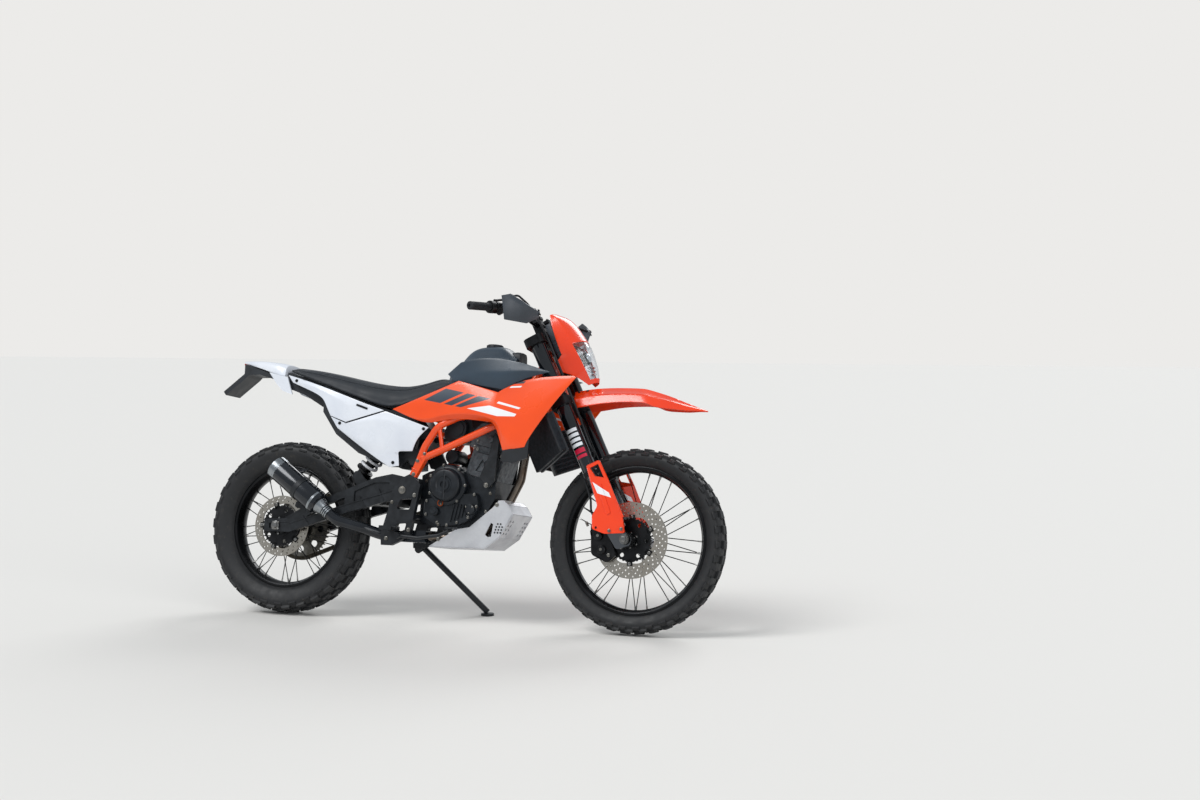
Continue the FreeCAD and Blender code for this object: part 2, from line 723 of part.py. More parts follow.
def engine_covers():
    middle = case_half + mm("cover_depth") / 2
    deep = mm("cover_depth") - 2 * gap
    clutch = disc_of(78, vec(733, -middle, 525), deep).fuse(
        disc_of(64, vec(733, -middle - 28, 525), 28))
    lower = side_plate([(640, 470), (860, 500), (872, 440), (838, 395), (790, 374), (700, 364),
                        (640, 400)], -case_half - gap, -case_half - mm("cover_depth"))
    clutch_middle = vec(733, -middle, 525)
    screws = around(disc_of(8, clutch_middle + AXIS_X * 77, deep), 7, clutch_middle)
    filler = disc_of(17, vec(690, -middle - 6, 424), deep + 12)
    right = fuse(clutch, lower, filler, *screws)
    rotor = vec(838, middle, 462)
    left = fuse(disc_of(66, rotor, deep), disc_of(46, rotor + AXIS_Y * 22, 14),
                *around(disc_of(8, rotor + AXIS_X * 65, deep), 4, rotor))
    return Part.makeCompound([right, left])


feature("engine_covers", engine_covers())


def cylinder_head():
    barrel = side_plate([(784, 560), (916, 530), (948, 640), (818, 676)], -72, 72)
    head = side_plate([(806, 678), (958, 640), (976, 735), (930, 765), (850, 770), (815, 740)],
                      -82, 82)
    return fuse(barrel, head).cut(engine_case())


feature("cylinder_head", cylinder_head())


# Throttle body and intake behind the head, between the trellis sides
def throttle_body():
    rear = 672 + 11 + gap
    body = side_plate([(rear, 712), (rear, 734), (702, 792, 10), (792, 800, 10), (803, 744),
                       (803, 694, 8), (706, 694, 8)], -64, 64)
    lids = [disc_of(reach, vec(746, 0, 746), 2 * half) for reach, half in ((40, 88), (30, 93))]
    return fuse(body, *lids)


feature("throttle_body", throttle_body())


# Radiators: a core each side, canted behind the fork legs, with a louvred guard
def radiators():
    inner = vec(-158, 62, 742)
    outer = vec(14, 192, 742)
    along = (outer - inner).normalize()
    back = vec(-along.y, along.x, 0) * 34
    ring = [steering.multVec(place) for place in (inner, outer, outer + back, inner + back)]
    rise = steering.Rotation.multVec(vec(0, 0, 163))
    block = flat_face(ring).extrude(rise)
    louvres = []
    for level in range(7):
        slot = [inner + along * 14, outer - along * 14]
        slot += [slot[1] + back / 4, slot[0] + back / 4]
        lift = vec(0, 0, 14 + level * 20)
        louvres.append(flat_face([steering.multVec(place + lift) for place in slot]).extrude(
            steering.Rotation.multVec(vec(0, 0, 13))))
    block = block.cut(Part.makeCompound(louvres))
    bracket = rod(steering.multVec(vec(-166, 76, 850)), vec(1030, 66, 824), 7)
    return both_sides(fuse(block, bracket).cut(frame()))


feature("radiators", radiators())


# Exhaust: header down in front of the engine, a collector box under the right
# side, and a silencer with steel end caps
silencer_rear = vec(12, -176, 572)
silencer_front = vec(222, -176, 424)
silencer_way = (silencer_front - silencer_rear).normalize()


def exhaust_box():
    box = side_plate([(545, 300, 10), (660, 300), (660, 346), (560, 346, 10)], -124, -72)
    neck = silencer_front + silencer_way * 26
    pipe_back = bent_rod([
        vec(552, -98, 322), vec(470, -104, 322), vec(400, -150, 346),
        neck + silencer_way * 70, neck], 21, 90)
    return fuse(box, pipe_back)


feature("exhaust_box", exhaust_box())


def exhaust_header():
    way = bent_rod([
        vec(950, 0, 704), vec(1006, 0, 690), vec(988, 5, 560), vec(948, 0, 472),
        vec(896, -30, 384), vec(846, -56, 324), vec(760, -68, 324), vec(690, -68, 326),
        vec(650, -88, 326)], 17, 60)
    return way.cut(cylinder_head()).cut(exhaust_box())


feature("exhaust_header", exhaust_header())


def silencer():
    sleeve = rod(silencer_rear + silencer_way * 36, silencer_front - silencer_way * 6,
                 mm("silencer_radius"))
    return sleeve


def silencer_ends():
    radius = mm("silencer_radius")
    cap = rod(silencer_rear, silencer_rear + silencer_way * 36, radius)
    mouth = rod(silencer_rear - silencer_way, silencer_rear + silencer_way * 30, radius - 14)
    neck = rod(silencer_front - silencer_way * 6, silencer_front + silencer_way * 26, 32)
    return Part.makeCompound([cap.cut(mouth), neck])


feature("silencer", silencer())
feature("silencer_ends", silencer_ends())


# Skid plate: folded aluminium sheet under the engine, open at the top
def skid_plate():
    half = mm("skid_half_width")
    gauge = mm("plate_gauge")
    side = [(664, 290), (774, 358), (829, 368), (920, 445), (943, 470), (962, 472),
            (981, 458), (1003, 424), (955, 337), (896, 293)]
    solid = side_plate(side, -half, half)
    inside = side_plate([(650, 294), (640, 600), (960, 600), (976, 458), (998, 424),
                         (951, 340), (895, 297)], -half + gauge, half - gauge)
    slot = side_plate([(908, 340, 4), (925, 334, 4), (948, 352, 4), (944, 388, 4), (930, 390, 4)],
                      -half - 5, half + 5)
    nose_low = vec(955, 0, 337)
    nose_way = (vec(1003, 0, 424) - nose_low).normalize()
    through = vec(nose_way.z, 0, -nose_way.x) * (4 * gauge)
    holes = []
    for reach in (16, 34, 52, 70):
        for y in (half - 16, half - 40):
            for side_sign in (-1, 1):
                place = nose_low + nose_way * reach + AXIS_Y * side_sign * y
                holes.append(rod(place - through, place + through, mm("skid_hole_radius")))
    return solid.cut(inside).cut(Part.makeCompound([slot] + holes))


feature("skid_plate", skid_plate())


# Shock absorber between the swingarm and the frame, with its coil spring
def shock():
    way = (shock_top - shock_foot).normalize()
    body = rod(shock_foot, shock_top, mm("shock_body_radius"))
    eyes = [rod(place - AXIS_Y * shock_eye, place + AXIS_Y * shock_eye, 16)
            for place in (shock_foot, shock_top)]
    cups = [rod(start, start + way * 8, mm("spring_radius"))
            for start in (spring_start - way * (8 + gap), spring_end + way * gap)]
    holes = [rod(place - AXIS_Y * 40, place + AXIS_Y * 40, mm("shock_pin_radius") + gap)
             for place in (shock_foot, shock_top)]
    return fuse(body, *eyes, *cups).cut(Part.makeCompound(holes))


def shock_spring():
    """Coil of round wire between the shock's two cups."""
    wire = mm("spring_wire")
    length = (spring_end - spring_start).Length
    coil = mm("spring_radius") - wire
    path = Part.makeHelix(mm("spring_pitch"), length - 2 * wire, coil)
    ring = Part.Wire(Part.makeCircle(wire, vec(coil, 0, 0), AXIS_Y))
    spring = Part.Wire(path).makePipeShell([ring], True, True)
    spring.translate(AXIS_Z * wire)
    turn = FreeCAD.Rotation(AXIS_Z, spring_end - spring_start)
    spring.Placement = FreeCAD.Placement(spring_start, turn).multiply(spring.Placement)
    return Part.makeCompound([spring])


shock_way = (shock_top - shock_foot).normalize()
spring_start = shock_foot + shock_way * 34
spring_end = shock_top - shock_way * 52
feature("shock", shock())
feature("shock_spring", shock_spring())


# Tank and its filler cap
def fuel_tank():
    floor = tank_floor
    return stations([
        (704, [(0, 962), (40, 960), (50, 957), (84, 944), (92, 925), (86, floor), (0, floor)]),
        (732, [(0, 1016), (46, 1012), (62, 992), (92, 976), (102, 930), (94, floor), (0, floor)]),
        (772, [(0, 1070), (50, 1065), (72, 1014), (106, 998), (118, 932), (104, floor), (0, floor)]),
        (840, [(0, 1077), (54, 1072), (78, 1024), (118, 1012), (130, 915), (112, floor), (0, floor)]),
        (906, [(0, 1077), (52, 1072), (76, 1026), (116, 1010), (132, 905), (112, floor), (0, floor)]),
        (928, [(0, 1054), (46, 1049), (68, 1022), (108, 1002), (124, 900), (106, floor), (0, floor)]),
        (966, [(0, 1030), (42, 1026), (60, 1012), (96, 985), (112, 895), (96, floor), (0, floor)]),
    ])


feature("fuel_tank", fuel_tank())
feature("filler_cap", Part.makeCylinder(34, 16, vec(846, 0, 1069), AXIS_Z).cut(fuel_tank()))


inward = AXIS_Y * -mm("panel_thickness")


# Tank wings: dark side covers over the tank that run forward past the fork
def tank_wings():
    points = {
        "a": (700, 104, 955), "b": (766, 130, 998), "c": (846, 142, 1016),
        "d": (944, 146, 1012), "e": (1040, 158, 994), "f": (1158, 168, 960),
        "g": (1030, 164, 930), "h": (962, 156, 892), "i": (850, 148, 908), "j": (738, 128, 927),
        "k": (852, 150, 962), "l": (958, 158, 956), "m": (1040, 168, 966)}
    wing = panel(points, ["abj", "bckj", "jki", "cdlk", "klhi", "deml", "lmgh", "efm", "fgm"],
                 inward)
    posts = [rod(vec(x, 100, 962), vec(x, 144, 962), 7) for x in (820, 920)]
    return both_sides(fuse(wing, *posts).cut(fuel_tank()))


feature("tank_wings", tank_wings())


# Shrouds: orange side panels from the seat out round the radiators
def shrouds():
    points = {
        "a": (490, 141, 811), "b": (605, 150, 855), "c": (772, 152, 924), "d": (952, 178, 879),
        "e": (962, 186, 884), "f": (1085, 212, 934), "g": (1272, 216, 941),
        "h": (1282, 217, 934), "j": (1204, 224, 842), "l": (1104, 222, 702),
        "m": (1091, 220, 670), "n": (998, 214, 655), "p": (957, 201, 745),
        "q": (936, 192, 764), "s": (750, 162, 784), "u": (656, 150, 751),
        "v": (572, 144, 779), "w": (760, 168, 850), "x": (945, 204, 822),
        "y": (1090, 234, 800)}
    faces = ["abwv", "bcw", "cdxw", "dex", "efyx", "fgy", "ghy", "hjy", "jly", "lmy",
             "mny", "npy", "pxy", "pqx", "qswx", "suw", "uvw"]
    return both_sides(panel(points, faces, inward))


feature("shrouds", shrouds())


def shroud_scoops():
    points = {
        "a": (1000, 212.5, 657), "b": (1090, 218.5, 673), "c": (1108, 219, 700),
        "d": (1100, 206, 632), "e": (1040, 202, 610), "f": (988, 200, 618)}
    return both_sides(panel(points, ["abef", "bde", "bcd"], inward * 2)).cut(shrouds())


feature("shroud_scoops", shroud_scoops())


# Seat: a long narrow pad that dips in the middle and rises onto the tank.
# Columns: x, top above the lowest point, half width of the crown, half width of
# the edge, bottom above or below the lowest point.
SEAT_ROWS = [
    (-36, 72, 58, 66, 54), (60, 64, 80, 98, 27), (160, 51, 98, 118, -3),
    (260, 32, 104, 128, -36), (360, 12, 98, 128, -70), (458, 0, 86, 126, -98),
    (520, 0, 76, 118, -82), (600, 21, 62, 106, -53), (650, 43, 54, 98, -26),
    (698, 26, 48, 82, -2)]


def seat():
    low = mm("seat_height")
    sections = []
    for x, top, crown, edge, bottom in SEAT_ROWS:
        sections.append((x, [(0, low + top), (crown, low + top - 5), (edge, low + bottom + 10),
                             (edge - 4, low + bottom), (0, low + bottom)]))
    return stations(sections)


feature("seat", seat())


# White rear side panels: an upper strip under the seat and a number panel below
def tail_strips():
    points = {
        "a": (-22, 76, 947), "b": (66, 104, 926), "c": (168, 126, 897), "d": (274, 137, 862),
        "e": (365, 139, 832), "f": (452, 139, 806), "g": (288, 141, 757), "h": (217, 138, 781),
        "i": (192, 136, 823), "j": (174, 134, 858), "k": (69, 108, 894), "l": (7, 86, 916)}
    faces = ["abl", "bkl", "bcjk", "cdij", "dehi", "efgh"]
    return both_sides(panel(points, faces, inward))


feature("tail_strips", tail_strips())


def side_panels():
    points = {
        "a": (220, 139, 777), "b": (290, 142, 751), "c": (461, 141, 802), "d": (568, 142, 769),
        "e": (651, 142, 742), "f": (600, 136, 701), "g": (584, 134, 650), "h": (523, 132, 648),
        "i": (528, 130, 592), "j": (486, 128, 586), "k": (382, 132, 645), "l": (252, 138, 733)}
    faces = ["abl", "bckl", "cdhk", "hijk", "defg", "dgh"]
    return both_sides(panel(points, faces, inward))


feature("side_panels", side_panels())


# Airbox and inner mudguard behind the panels, above the rear wheel
def airbox():
    under_seat = [(x, mm("seat_height") + bottom - gap) for x, top, crown, edge, bottom
                  in SEAT_ROWS if 0 < x < 600]
    wide = side_plate(under_seat[1:] + [
        (590, 740), (575, 650), (520, 590), (470, 590), (330, 640), (225, 712), (160, 800)],
        -96, 96)
    narrow = side_plate([(-74, 950.2), (-36.6, 938.9), (-32, 938.9), (-32, 958)]
                        + under_seat[:3] + [(250, 800), (160, 810), (50, 870), (-60, 905)],
                        -60, 60)
    shock_room = Part.makeBox(305, 90, 250, vec(325, shock_y - 45, 550))
    bosses = [rod(vec(x, -reach, z), vec(x, reach, z), 8)
              for x, z, reach in ((250, 815, 135), (330, 790, 137),
                                  (470, 720, 137), (330, 716, 135))]
    lugs = [side_plate([(540, 640), (560, 600), (612, 588), (634, 606), (600, 670)], 84, 96),
            rod(vec(616, 90, 608), vec(616, tube_y - 12 - gap, 608), 9),
            side_plate([(580, 700), (672, 712), (672, 732), (585, 750)], 62, 78)]
    box = fuse(wide, narrow, *bosses, *lugs, *[mirror(lug) for lug in lugs]).cut(shock_room)
    return box.cut(tail_strips()).cut(side_panels()).cut(frame())


# Tail: white rear mudguard with a leg down each side, and what hangs under it
def tail():
    top = stations([
        (-262, [(0, 1008), (26, 1006), (28, 1000), (0, 1002)]),
        (-170, [(0, 1010), (50, 1006), (56, 972), (0, 992)]),
        (-76, [(0, 1002), (70, 996), (78, 942), (0, 980)]),
        (-36 - gap, [(0, 992), (66, 985), (80, 930), (0, 968)])])
    leg = side_plate([(-110, 958), (-37, 942), (-24, 940), (4, 868), (-44, 884), (-72, 912)],
                     74, 80)
    return fuse(top, leg, mirror(leg))


feature("tail", tail())
feature("airbox", airbox())


plate_middle = vec(-286, 0, 915)
plate_normal = vec(-74, 0, 92).normalize()


def plate_holder():
    rear = vec(-332, 0, 878)
    front = vec(-240, 0, 952)
    under = plate_normal * -18
    points = [(front.x, 992), (-170, 971.2), (-76, 941.2), (-80, 926), (-166, 950),
              (front.x - under.z + 6, front.z + under.z + 10), (front.x + under.x, front.z + under.z),
              (rear.x + under.x, rear.z + under.z), (rear.x, rear.z), (front.x, front.z)]
    holes = [rod(plate_middle + AXIS_Y * side * mm("plate_hole_spacing") / 2 - plate_normal * 12,
                 plate_middle + AXIS_Y * side * mm("plate_hole_spacing") / 2 + plate_normal * 10,
                 mm("plate_hole_radius")) for side in (-1, 1)]
    return side_plate(points, -54, 54).cut(Part.makeCompound(holes))


feature("plate_holder", plate_holder())
feature("tail_light", side_plate([
    (-262, 999), (-240 - gap, 992), (-240 - gap, 956), (-254, 962)], -24, 24))


# Footpegs and foot controls
def footpegs():
    peg = Part.makeBox(52, 74, 16, vec(512, 156, 340))
    wells = [Part.makeBox(17, 58, 20, vec(x, 164, 338)) for x in (518, 541)]
    notch = flat_face([vec(500, -5, 357), vec(500, 0, 350), vec(500, 5, 357)]).extrude(AXIS_X * 80)
    notches = []
    for index in range(6):
        cut = notch.copy()
        cut.translate(AXIS_Y * (166 + index * 11))
        notches.append(cut)
    arm = Part.makeBox(26, 24, 16, vec(525, plate_out + gap, 340))
    return both_sides(fuse(peg, arm).cut(Part.makeCompound(wells + notches)))


feature("footpegs", footpegs())


def brake_pedal():
    lever = bent_rod([vec(560, -166, 322), vec(650, -168, 316), vec(740, -172, 330),
                      vec(790, -172, 352)], 7, 40)
    pad = Part.makeBox(34, 40, 8, vec(776, -200, 354))
    boss = rod(vec(560, -plate_out - gap, 322), vec(560, -176, 322), 13)
    return fuse(lever, pad, boss)


feature("brake_pedal", brake_pedal())


def gear_lever():
    lever = bent_rod([vec(660, 138, 386), vec(730, 142, 372), vec(806, 146, 378)], 6, 40)
    toe = rod(vec(804, 140, 378), vec(804, 196, 378), 9)
    shaft = rod(vec(660, case_half + gap, 386), vec(660, 146, 386), 8)
    return fuse(lever, toe, shaft)


feature("gear_lever", gear_lever())


# Chain: one closed loop of side plates and rollers round both sprockets
def chain():
    pitch = mm("chain_pitch")
    big = pitch / 2 / math.sin(math.pi / mm("sprocket_teeth"))
    small = pitch / 2 / math.sin(math.pi / mm("drive_teeth"))
    rear = rear_hub
    front = drive_centre
    way = front - rear
    slope = math.atan2(way.z, way.x)
    open_angle = math.acos((big - small) / way.Length)
    y = mm("chain_offset")

    def around_point(centre, radius, angle):
        return centre + vec(radius * math.cos(angle), 0, radius * math.sin(angle))

    def loop(big_radius, small_radius):
        top = slope + open_angle
        low = slope - open_angle
        one = around_point(rear, big_radius, top)
        two = around_point(front, small_radius, top)
        three = around_point(front, small_radius, low)
        four = around_point(rear, big_radius, low)
        nose = around_point(front, small_radius, slope)
        tail_point = around_point(rear, big_radius, slope + math.pi)
        wire = Part.Wire([
            Part.makeLine(one, two), Part.Arc(two, nose, three).toShape(),
            Part.makeLine(three, four), Part.Arc(four, tail_point, one).toShape()])
        return Part.Face(wire)

    half = 7.5
    plates = []
    for side in (-1, 1):
        ring = loop(big + half, small + half).cut(loop(big - half, small - half))
        ring.translate(AXIS_Y * (y + side * 7 - 1.5))
        plates.append(ring.extrude(AXIS_Y * 3))
    pins = []
    for index in range(4):
        for angle, start, end in ((slope + open_angle, big, small),
                                  (slope - open_angle, big, small)):
            share = 0.2 + 0.2 * index
            place = around_point(rear, start, angle) * (1 - share)
            place = place + around_point(front, end, angle) * share
            pins.append(disc_of(4, place + AXIS_Y * y, 14))
    for turn in (-50, 0, 50):
        place = around_point(front, small, slope + math.radians(turn))
        pins.append(disc_of(5, place + AXIS_Y * y, 14))
    return fuse(*plates, *pins)


feature("chain", chain())


# Drive sprocket cover in front of the swingarm pivot, on the left
def sprocket_cover():
    cover = side_plate([(604, 556), (668, 578), (714, 556), (714, 436), (650, 425), (600, 470)],
                       arm_in, arm_in + 12)
    posts = [rod(vec(706, case_half + gap, z), vec(706, arm_in + 2, z), 6) for z in (545, 448)]
    return fuse(cover, *posts)


feature("sprocket_cover", sprocket_cover())


# Rear caliper on its bracket above the swingarm's right leg
def rear_caliper():
    body = side_plate([(60, 420, 8), (140, 400, 8), (160, 440, 8), (90, 470, 8)],
                      -mm("arm_inner") + 2, -62)
    slot = disc_of(mm("rear_disc_radius") + 6, rear_hub - AXIS_Y * mm("rear_disc_offset"), 12)
    bracket = side_plate([(-24, 340), (10, 312), (60, 330), (150, 405), (140, 440), (20, 372)],
                         -mm("arm_inner") + gap, -mm("arm_inner") + 8)
    hole = disc_of(mm("rear_axle_radius") + gap, rear_hub, 400)
    return fuse(body, bracket).cut(slot).cut(hole)


feature("rear_caliper", rear_caliper())

# Steering. Everything from here to the headlight turns with the bars and is
# drawn with the steering axis as Z: x ahead of the axis, z along it.
leg_x = mm("leg_offset")
leg_y = mm("leg_spacing")
tube = mm("outer_tube_radius")
yoke_front = leg_x + 38


def yokes():
    stem = rod(vec(0, 0, mm("yoke_lower")), vec(0, 0, mm("yoke_upper")), mm("stem_radius"))
    plates = []
    for level in (mm("yoke_lower"), mm("yoke_upper")):
        low = level - mm("yoke_height") / 2
        ring = outline([(-36, 0, 20), (-20, 50, 20), (leg_x - 40, leg_y + 38, 24),
                        (yoke_front, leg_y + 38, 24), (yoke_front, -leg_y - 38, 24),
                        (leg_x - 40, -leg_y - 38, 24), (-20, -50, 20)],
                       lambda x, y: vec(x, y, low))
        plates.append(Part.Face(ring).extrude(AXIS_Z * mm("yoke_height")))
    riser = [Part.makeBox(38, 26, 80, vec(21, side * 42 - 13, mm("yoke_upper") + 12))
             for side in (-1, 1)]
    holes = [rod(vec(leg_x, side * leg_y, 800), vec(leg_x, side * leg_y, 1300), tube + gap / 2)
             for side in (-1, 1)]
    bar = rod(vec(40, -90, 1277), vec(40, 90, 1277), mm("bar_radius") + gap)
    return fuse(stem, *plates, *riser).cut(Part.makeCompound(holes)).cut(bar)


feature("yokes", yokes(), steering)


def fork_tubes():
    return both_sides(rod(vec(leg_x, leg_y, mm("outer_tube_end")),
                          vec(leg_x, leg_y, mm("fork_top")), tube))


feature("fork_tubes", fork_tubes(), steering)


def fork_lowers():
    slider = rod(vec(leg_x, leg_y, axle_along + 20), vec(leg_x, leg_y, mm("outer_tube_end")),
                 mm("inner_tube_radius"))
    clamp = Part.Face(outline([
        (leg_x - 26, axle_along + 70, 10), (leg_x + 24, axle_along + 70, 10),
        (axle_ahead + 26, axle_along - 8, 14), (axle_ahead + 8, axle_along - 28, 14),
        (leg_x - 14, axle_along - 20, 14)],
        lambda x, z: vec(x, leg_y - 20, z))).extrude(AXIS_Y * (20 + tube))
    hole = disc_of(mm("front_axle_radius") + gap, vec(axle_ahead, 0, axle_along), 400)
    return both_sides(fuse(slider, clamp).cut(hole))


feature("fork_lowers", fork_lowers(), steering)


def fork_guards():
    guard = Part.Face(outline([
        (90, 670, 6), (34, 672, 6), (14, 515, 10), (-20, 492, 8), (-39, 447, 6), (-2, 410, 8),
        (72, 379, 6), (88, 435, 10), (93, 587, 10)],
        lambda x, z: vec(x, leg_y + tube + gap, z))).extrude(AXIS_Y * 7)
    window = Part.Face(outline([(80, 658, 5), (44, 658, 5), (50, 622, 5), (80, 602, 5)],
                               lambda x, z: vec(x, leg_y, z))).extrude(AXIS_Y * 60)
    edge = leg_y + tube + gap
    ring = [(60, leg_y - 24), (67, leg_y - 26), (92, edge), (90, edge + 7), (84, edge + 7)]
    front = flat_face([vec(x, y, 436) for x, y in ring]).extrude(AXIS_Z * 150)
    return both_sides(fuse(guard.cut(window), front))


feature("fork_guards", fork_guards(), steering)


def front_caliper():
    body = Part.Face(outline([
        (leg_x - 126, 372, 10), (leg_x - 80, 316, 8), (leg_x - 34, 330, 8), (leg_x - 30, 462, 8),
        (leg_x - 80, 478, 10)],
        lambda x, z: vec(x, -92, z))).extrude(AXIS_Y * 48)
    slot = disc_of(mm("front_disc_radius") + 6,
                   vec(axle_ahead, -mm("front_disc_offset"), axle_along), 12)
    arm = Part.makeBox(18, 30, 26, vec(leg_x - mm("inner_tube_radius") - gap - 18, -leg_y - 12, 436))
    return fuse(body, arm).cut(slot)


feature("front_caliper", front_caliper(), steering)


def handlebar():
    half = [vec(40, 0, 1277), vec(40, 70, 1277), vec(24, 165, 1335),
            vec(-60, mm("bar_half_width"), 1350)]
    path = [vec(p.x, -p.y, p.z) for p in reversed(half[1:])] + half[1:]
    return bent_rod(path, mm("bar_radius"), 60)


feature("handlebar", handlebar(), steering)
bar_end = vec(-60, mm("bar_half_width"), 1350)
bar_way = (bar_end - vec(24, 165, 1335)).normalize()


def grips():
    inner = bar_end - bar_way * 124
    grip = rod(inner, bar_end + bar_way * 4, mm("grip_radius"))
    return both_sides(grip.cut(rod(inner, bar_end + bar_way * 0.5, mm("bar_radius") + 0.05)))


feature("grips", grips(), steering)


perch_start = bar_end - bar_way * 172
perch_boss = perch_start + bar_way * 22 + vec(0, 0, 10)


def controls():
    start = perch_start
    perch = rod(start, start + bar_way * 44, 19)
    reservoir = Part.makeBox(34, 40, 24, start + vec(14, -4, 2))
    arm = bent_rod([start + vec(2, 22, -4), start + vec(50, 34, -10), start + vec(46, 106, -12),
                    start + vec(34, 142, -14)], 6, 24)
    post = rod(perch_boss, perch_boss + AXIS_Z * 26, 9)
    hole = rod(perch_boss + AXIS_Z * 8, perch_boss + AXIS_Z * 26, mm("mirror_thread_radius"))
    inside = rod(start, start + bar_way * 60, mm("bar_radius") + 0.05)
    return both_sides(fuse(perch, reservoir, arm, post).cut(hole).cut(inside))


feature("controls", controls(), steering)


def hand_guards():
    points = {
        "a": (50, 384, 1350), "b": (112, 318, 1326), "c": (134, 258, 1292), "d": (128, 252, 1240),
        "e": (104, 310, 1222), "f": (46, 380, 1292)}
    shell = panel(points, ["abf", "bef", "bcd", "bde"], vec(-6, 0, 0))
    arm = rod(vec(122, 266, 1262), vec(4, 224, 1339), 6)
    return both_sides(fuse(shell, arm).cut(handlebar()))


feature("hand_guards", hand_guards(), steering)


# Brake hose from the master cylinder down the right fork leg to the caliper
def brake_hose():
    radius = mm("hose_radius")
    ahead = leg_x + tube + radius + 9
    master = perch_start + vec(14 + 34 + gap, 16, 12)
    return bent_rod([
        vec(master.x, -master.y, master.z), vec(ahead + 8, -master.y, master.z),
        vec(ahead + 12, -200, 1322), vec(ahead + 12, -160, 1286),
        vec(ahead + 9, -118, 1200), vec(ahead + 5, -108, 1000), vec(ahead + 2, -104, 880),
        vec(ahead - 4, -100, 742), vec(62, -72, 712), vec(24, -64, 688), vec(-12, -76, 650),
        vec(-16, -90, 560), vec(-38, -70, 528), vec(-40, -68, 475.4)], radius, 30)


feature("brake_hose", brake_hose(), steering)


# Headlight mask, its lamp glass and the dark housing behind
def tall_stations(rows):
    """Loft up the steering axis through half outlines of (x, y) points."""
    rings = []
    for level, half in rows:
        rings.append([vec(x, y, level) for x, y in half]
                     + [vec(x, -y, level) for x, y in reversed(half) if y])
    return facets_through(rings)


MASK_ROWS = [
    (974, [(164, 0), (157, 22), (126, 36), (122, 0)]),
    (1024, [(182, 0), (166, 50), (104, 68), (100, 0)]),
    (1094, [(190, 0), (160, 68), (70, 84), (66, 0)]),
    (1116, [(190, 0), (158, 72), (98, 86), (94, 0)]),
    (1194, [(176, 0), (146, 76), (104, 86), (100, 0)]),
    (1252, [(160, 0), (132, 72), (104, 80), (100, 0)]),
    (1286, [(122, 0), (116, 60), (106, 68), (102, 0)]),
]
mask_solid = tall_stations(MASK_ROWS)
lamp_solid = tall_stations([
    (986, [(200, 0), (200, 14), (134, 14), (134, 0)]),
    (1060, [(200, 0), (200, 34), (134, 34), (134, 0)]),
    (1139, [(200, 0), (200, 50), (134, 50), (134, 0)])])
feature("headlight_mask", mask_solid.cut(lamp_solid), steering)
feature("headlight", tall_stations([
    (986 + gap, [(162, 0), (156, 13.6), (134 + gap, 13.6), (134 + gap, 0)]),
    (1060, [(178, 0), (166, 33.6), (134 + gap, 33.6), (134 + gap, 0)]),
    (1139 - gap, [(180, 0), (160, 49.6), (134 + gap, 49.6), (134 + gap, 0)])]), steering)
feature("instruments", Part.makeBox(34, 130, 150, vec(yoke_front + gap, -65, 1112)).cut(mask_solid), steering)


# Front mudguard: a long crowned blade held under the lower yoke
def front_fender():
    rows = [
        (yoke_front + gap, 80, 978, 905), (124, 86, 962, 886), (200, 84, 938, 868),
        (309, 74, 878, 822),
        (374, 60, 826, 775), (436, 40, 764, 745), (510, 8, 684, 680)]
    sections = []
    for x, half, top, edge in rows:
        thin = 4
        sections.append((x, [(0, top), (half * 0.55, top - (top - edge) * 0.18), (half, edge),
                             (half - thin, edge), (half * 0.55 - thin / 2,
                                                   top - (top - edge) * 0.18 - thin),
                             (0, top - thin)]))
    return stations(sections)


feature("front_fender", front_fender(), steering)

# The machine leans onto its stand, then the origin goes to the ground under it
doc.recompute()
for piece, local in nodes:
    piece.Placement = lean.multiply(local)
doc.recompute()
spots = []
for piece, local in nodes:
    spots += piece.Shape.tessellate(0.4)[0]
middle = vec((min(p.x for p in spots) + max(p.x for p in spots)) / 2,
             (min(p.y for p in spots) + max(p.y for p in spots)) / 2,
             min(p.z for p in spots))
park = FreeCAD.Placement(middle * -1, FreeCAD.Rotation()).multiply(lean)
for piece, local in nodes:
    piece.Placement = park.multiply(local)
doc.recompute()

for item in doc.Objects:
    if "Invalid" in item.State or "Error" in item.State:
        raise RuntimeError("not built: " + item.Label)
for piece, local in nodes:
    if piece.Shape.isNull() or not piece.Shape.isValid():
        raise RuntimeError("not a valid solid: " + piece.Label)
for piece, local in nodes:
    piece.Shape.exportStep("parts/%s.step" % piece.Label)
print("pieces", len(nodes))
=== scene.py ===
import json
from math import atan2, cos, degrees, pi, radians, sin

import bmesh
import bpy
from mathutils import Matrix, Vector
from mathutils.bvhtree import BVHTree
from mathutils.kdtree import KDTree


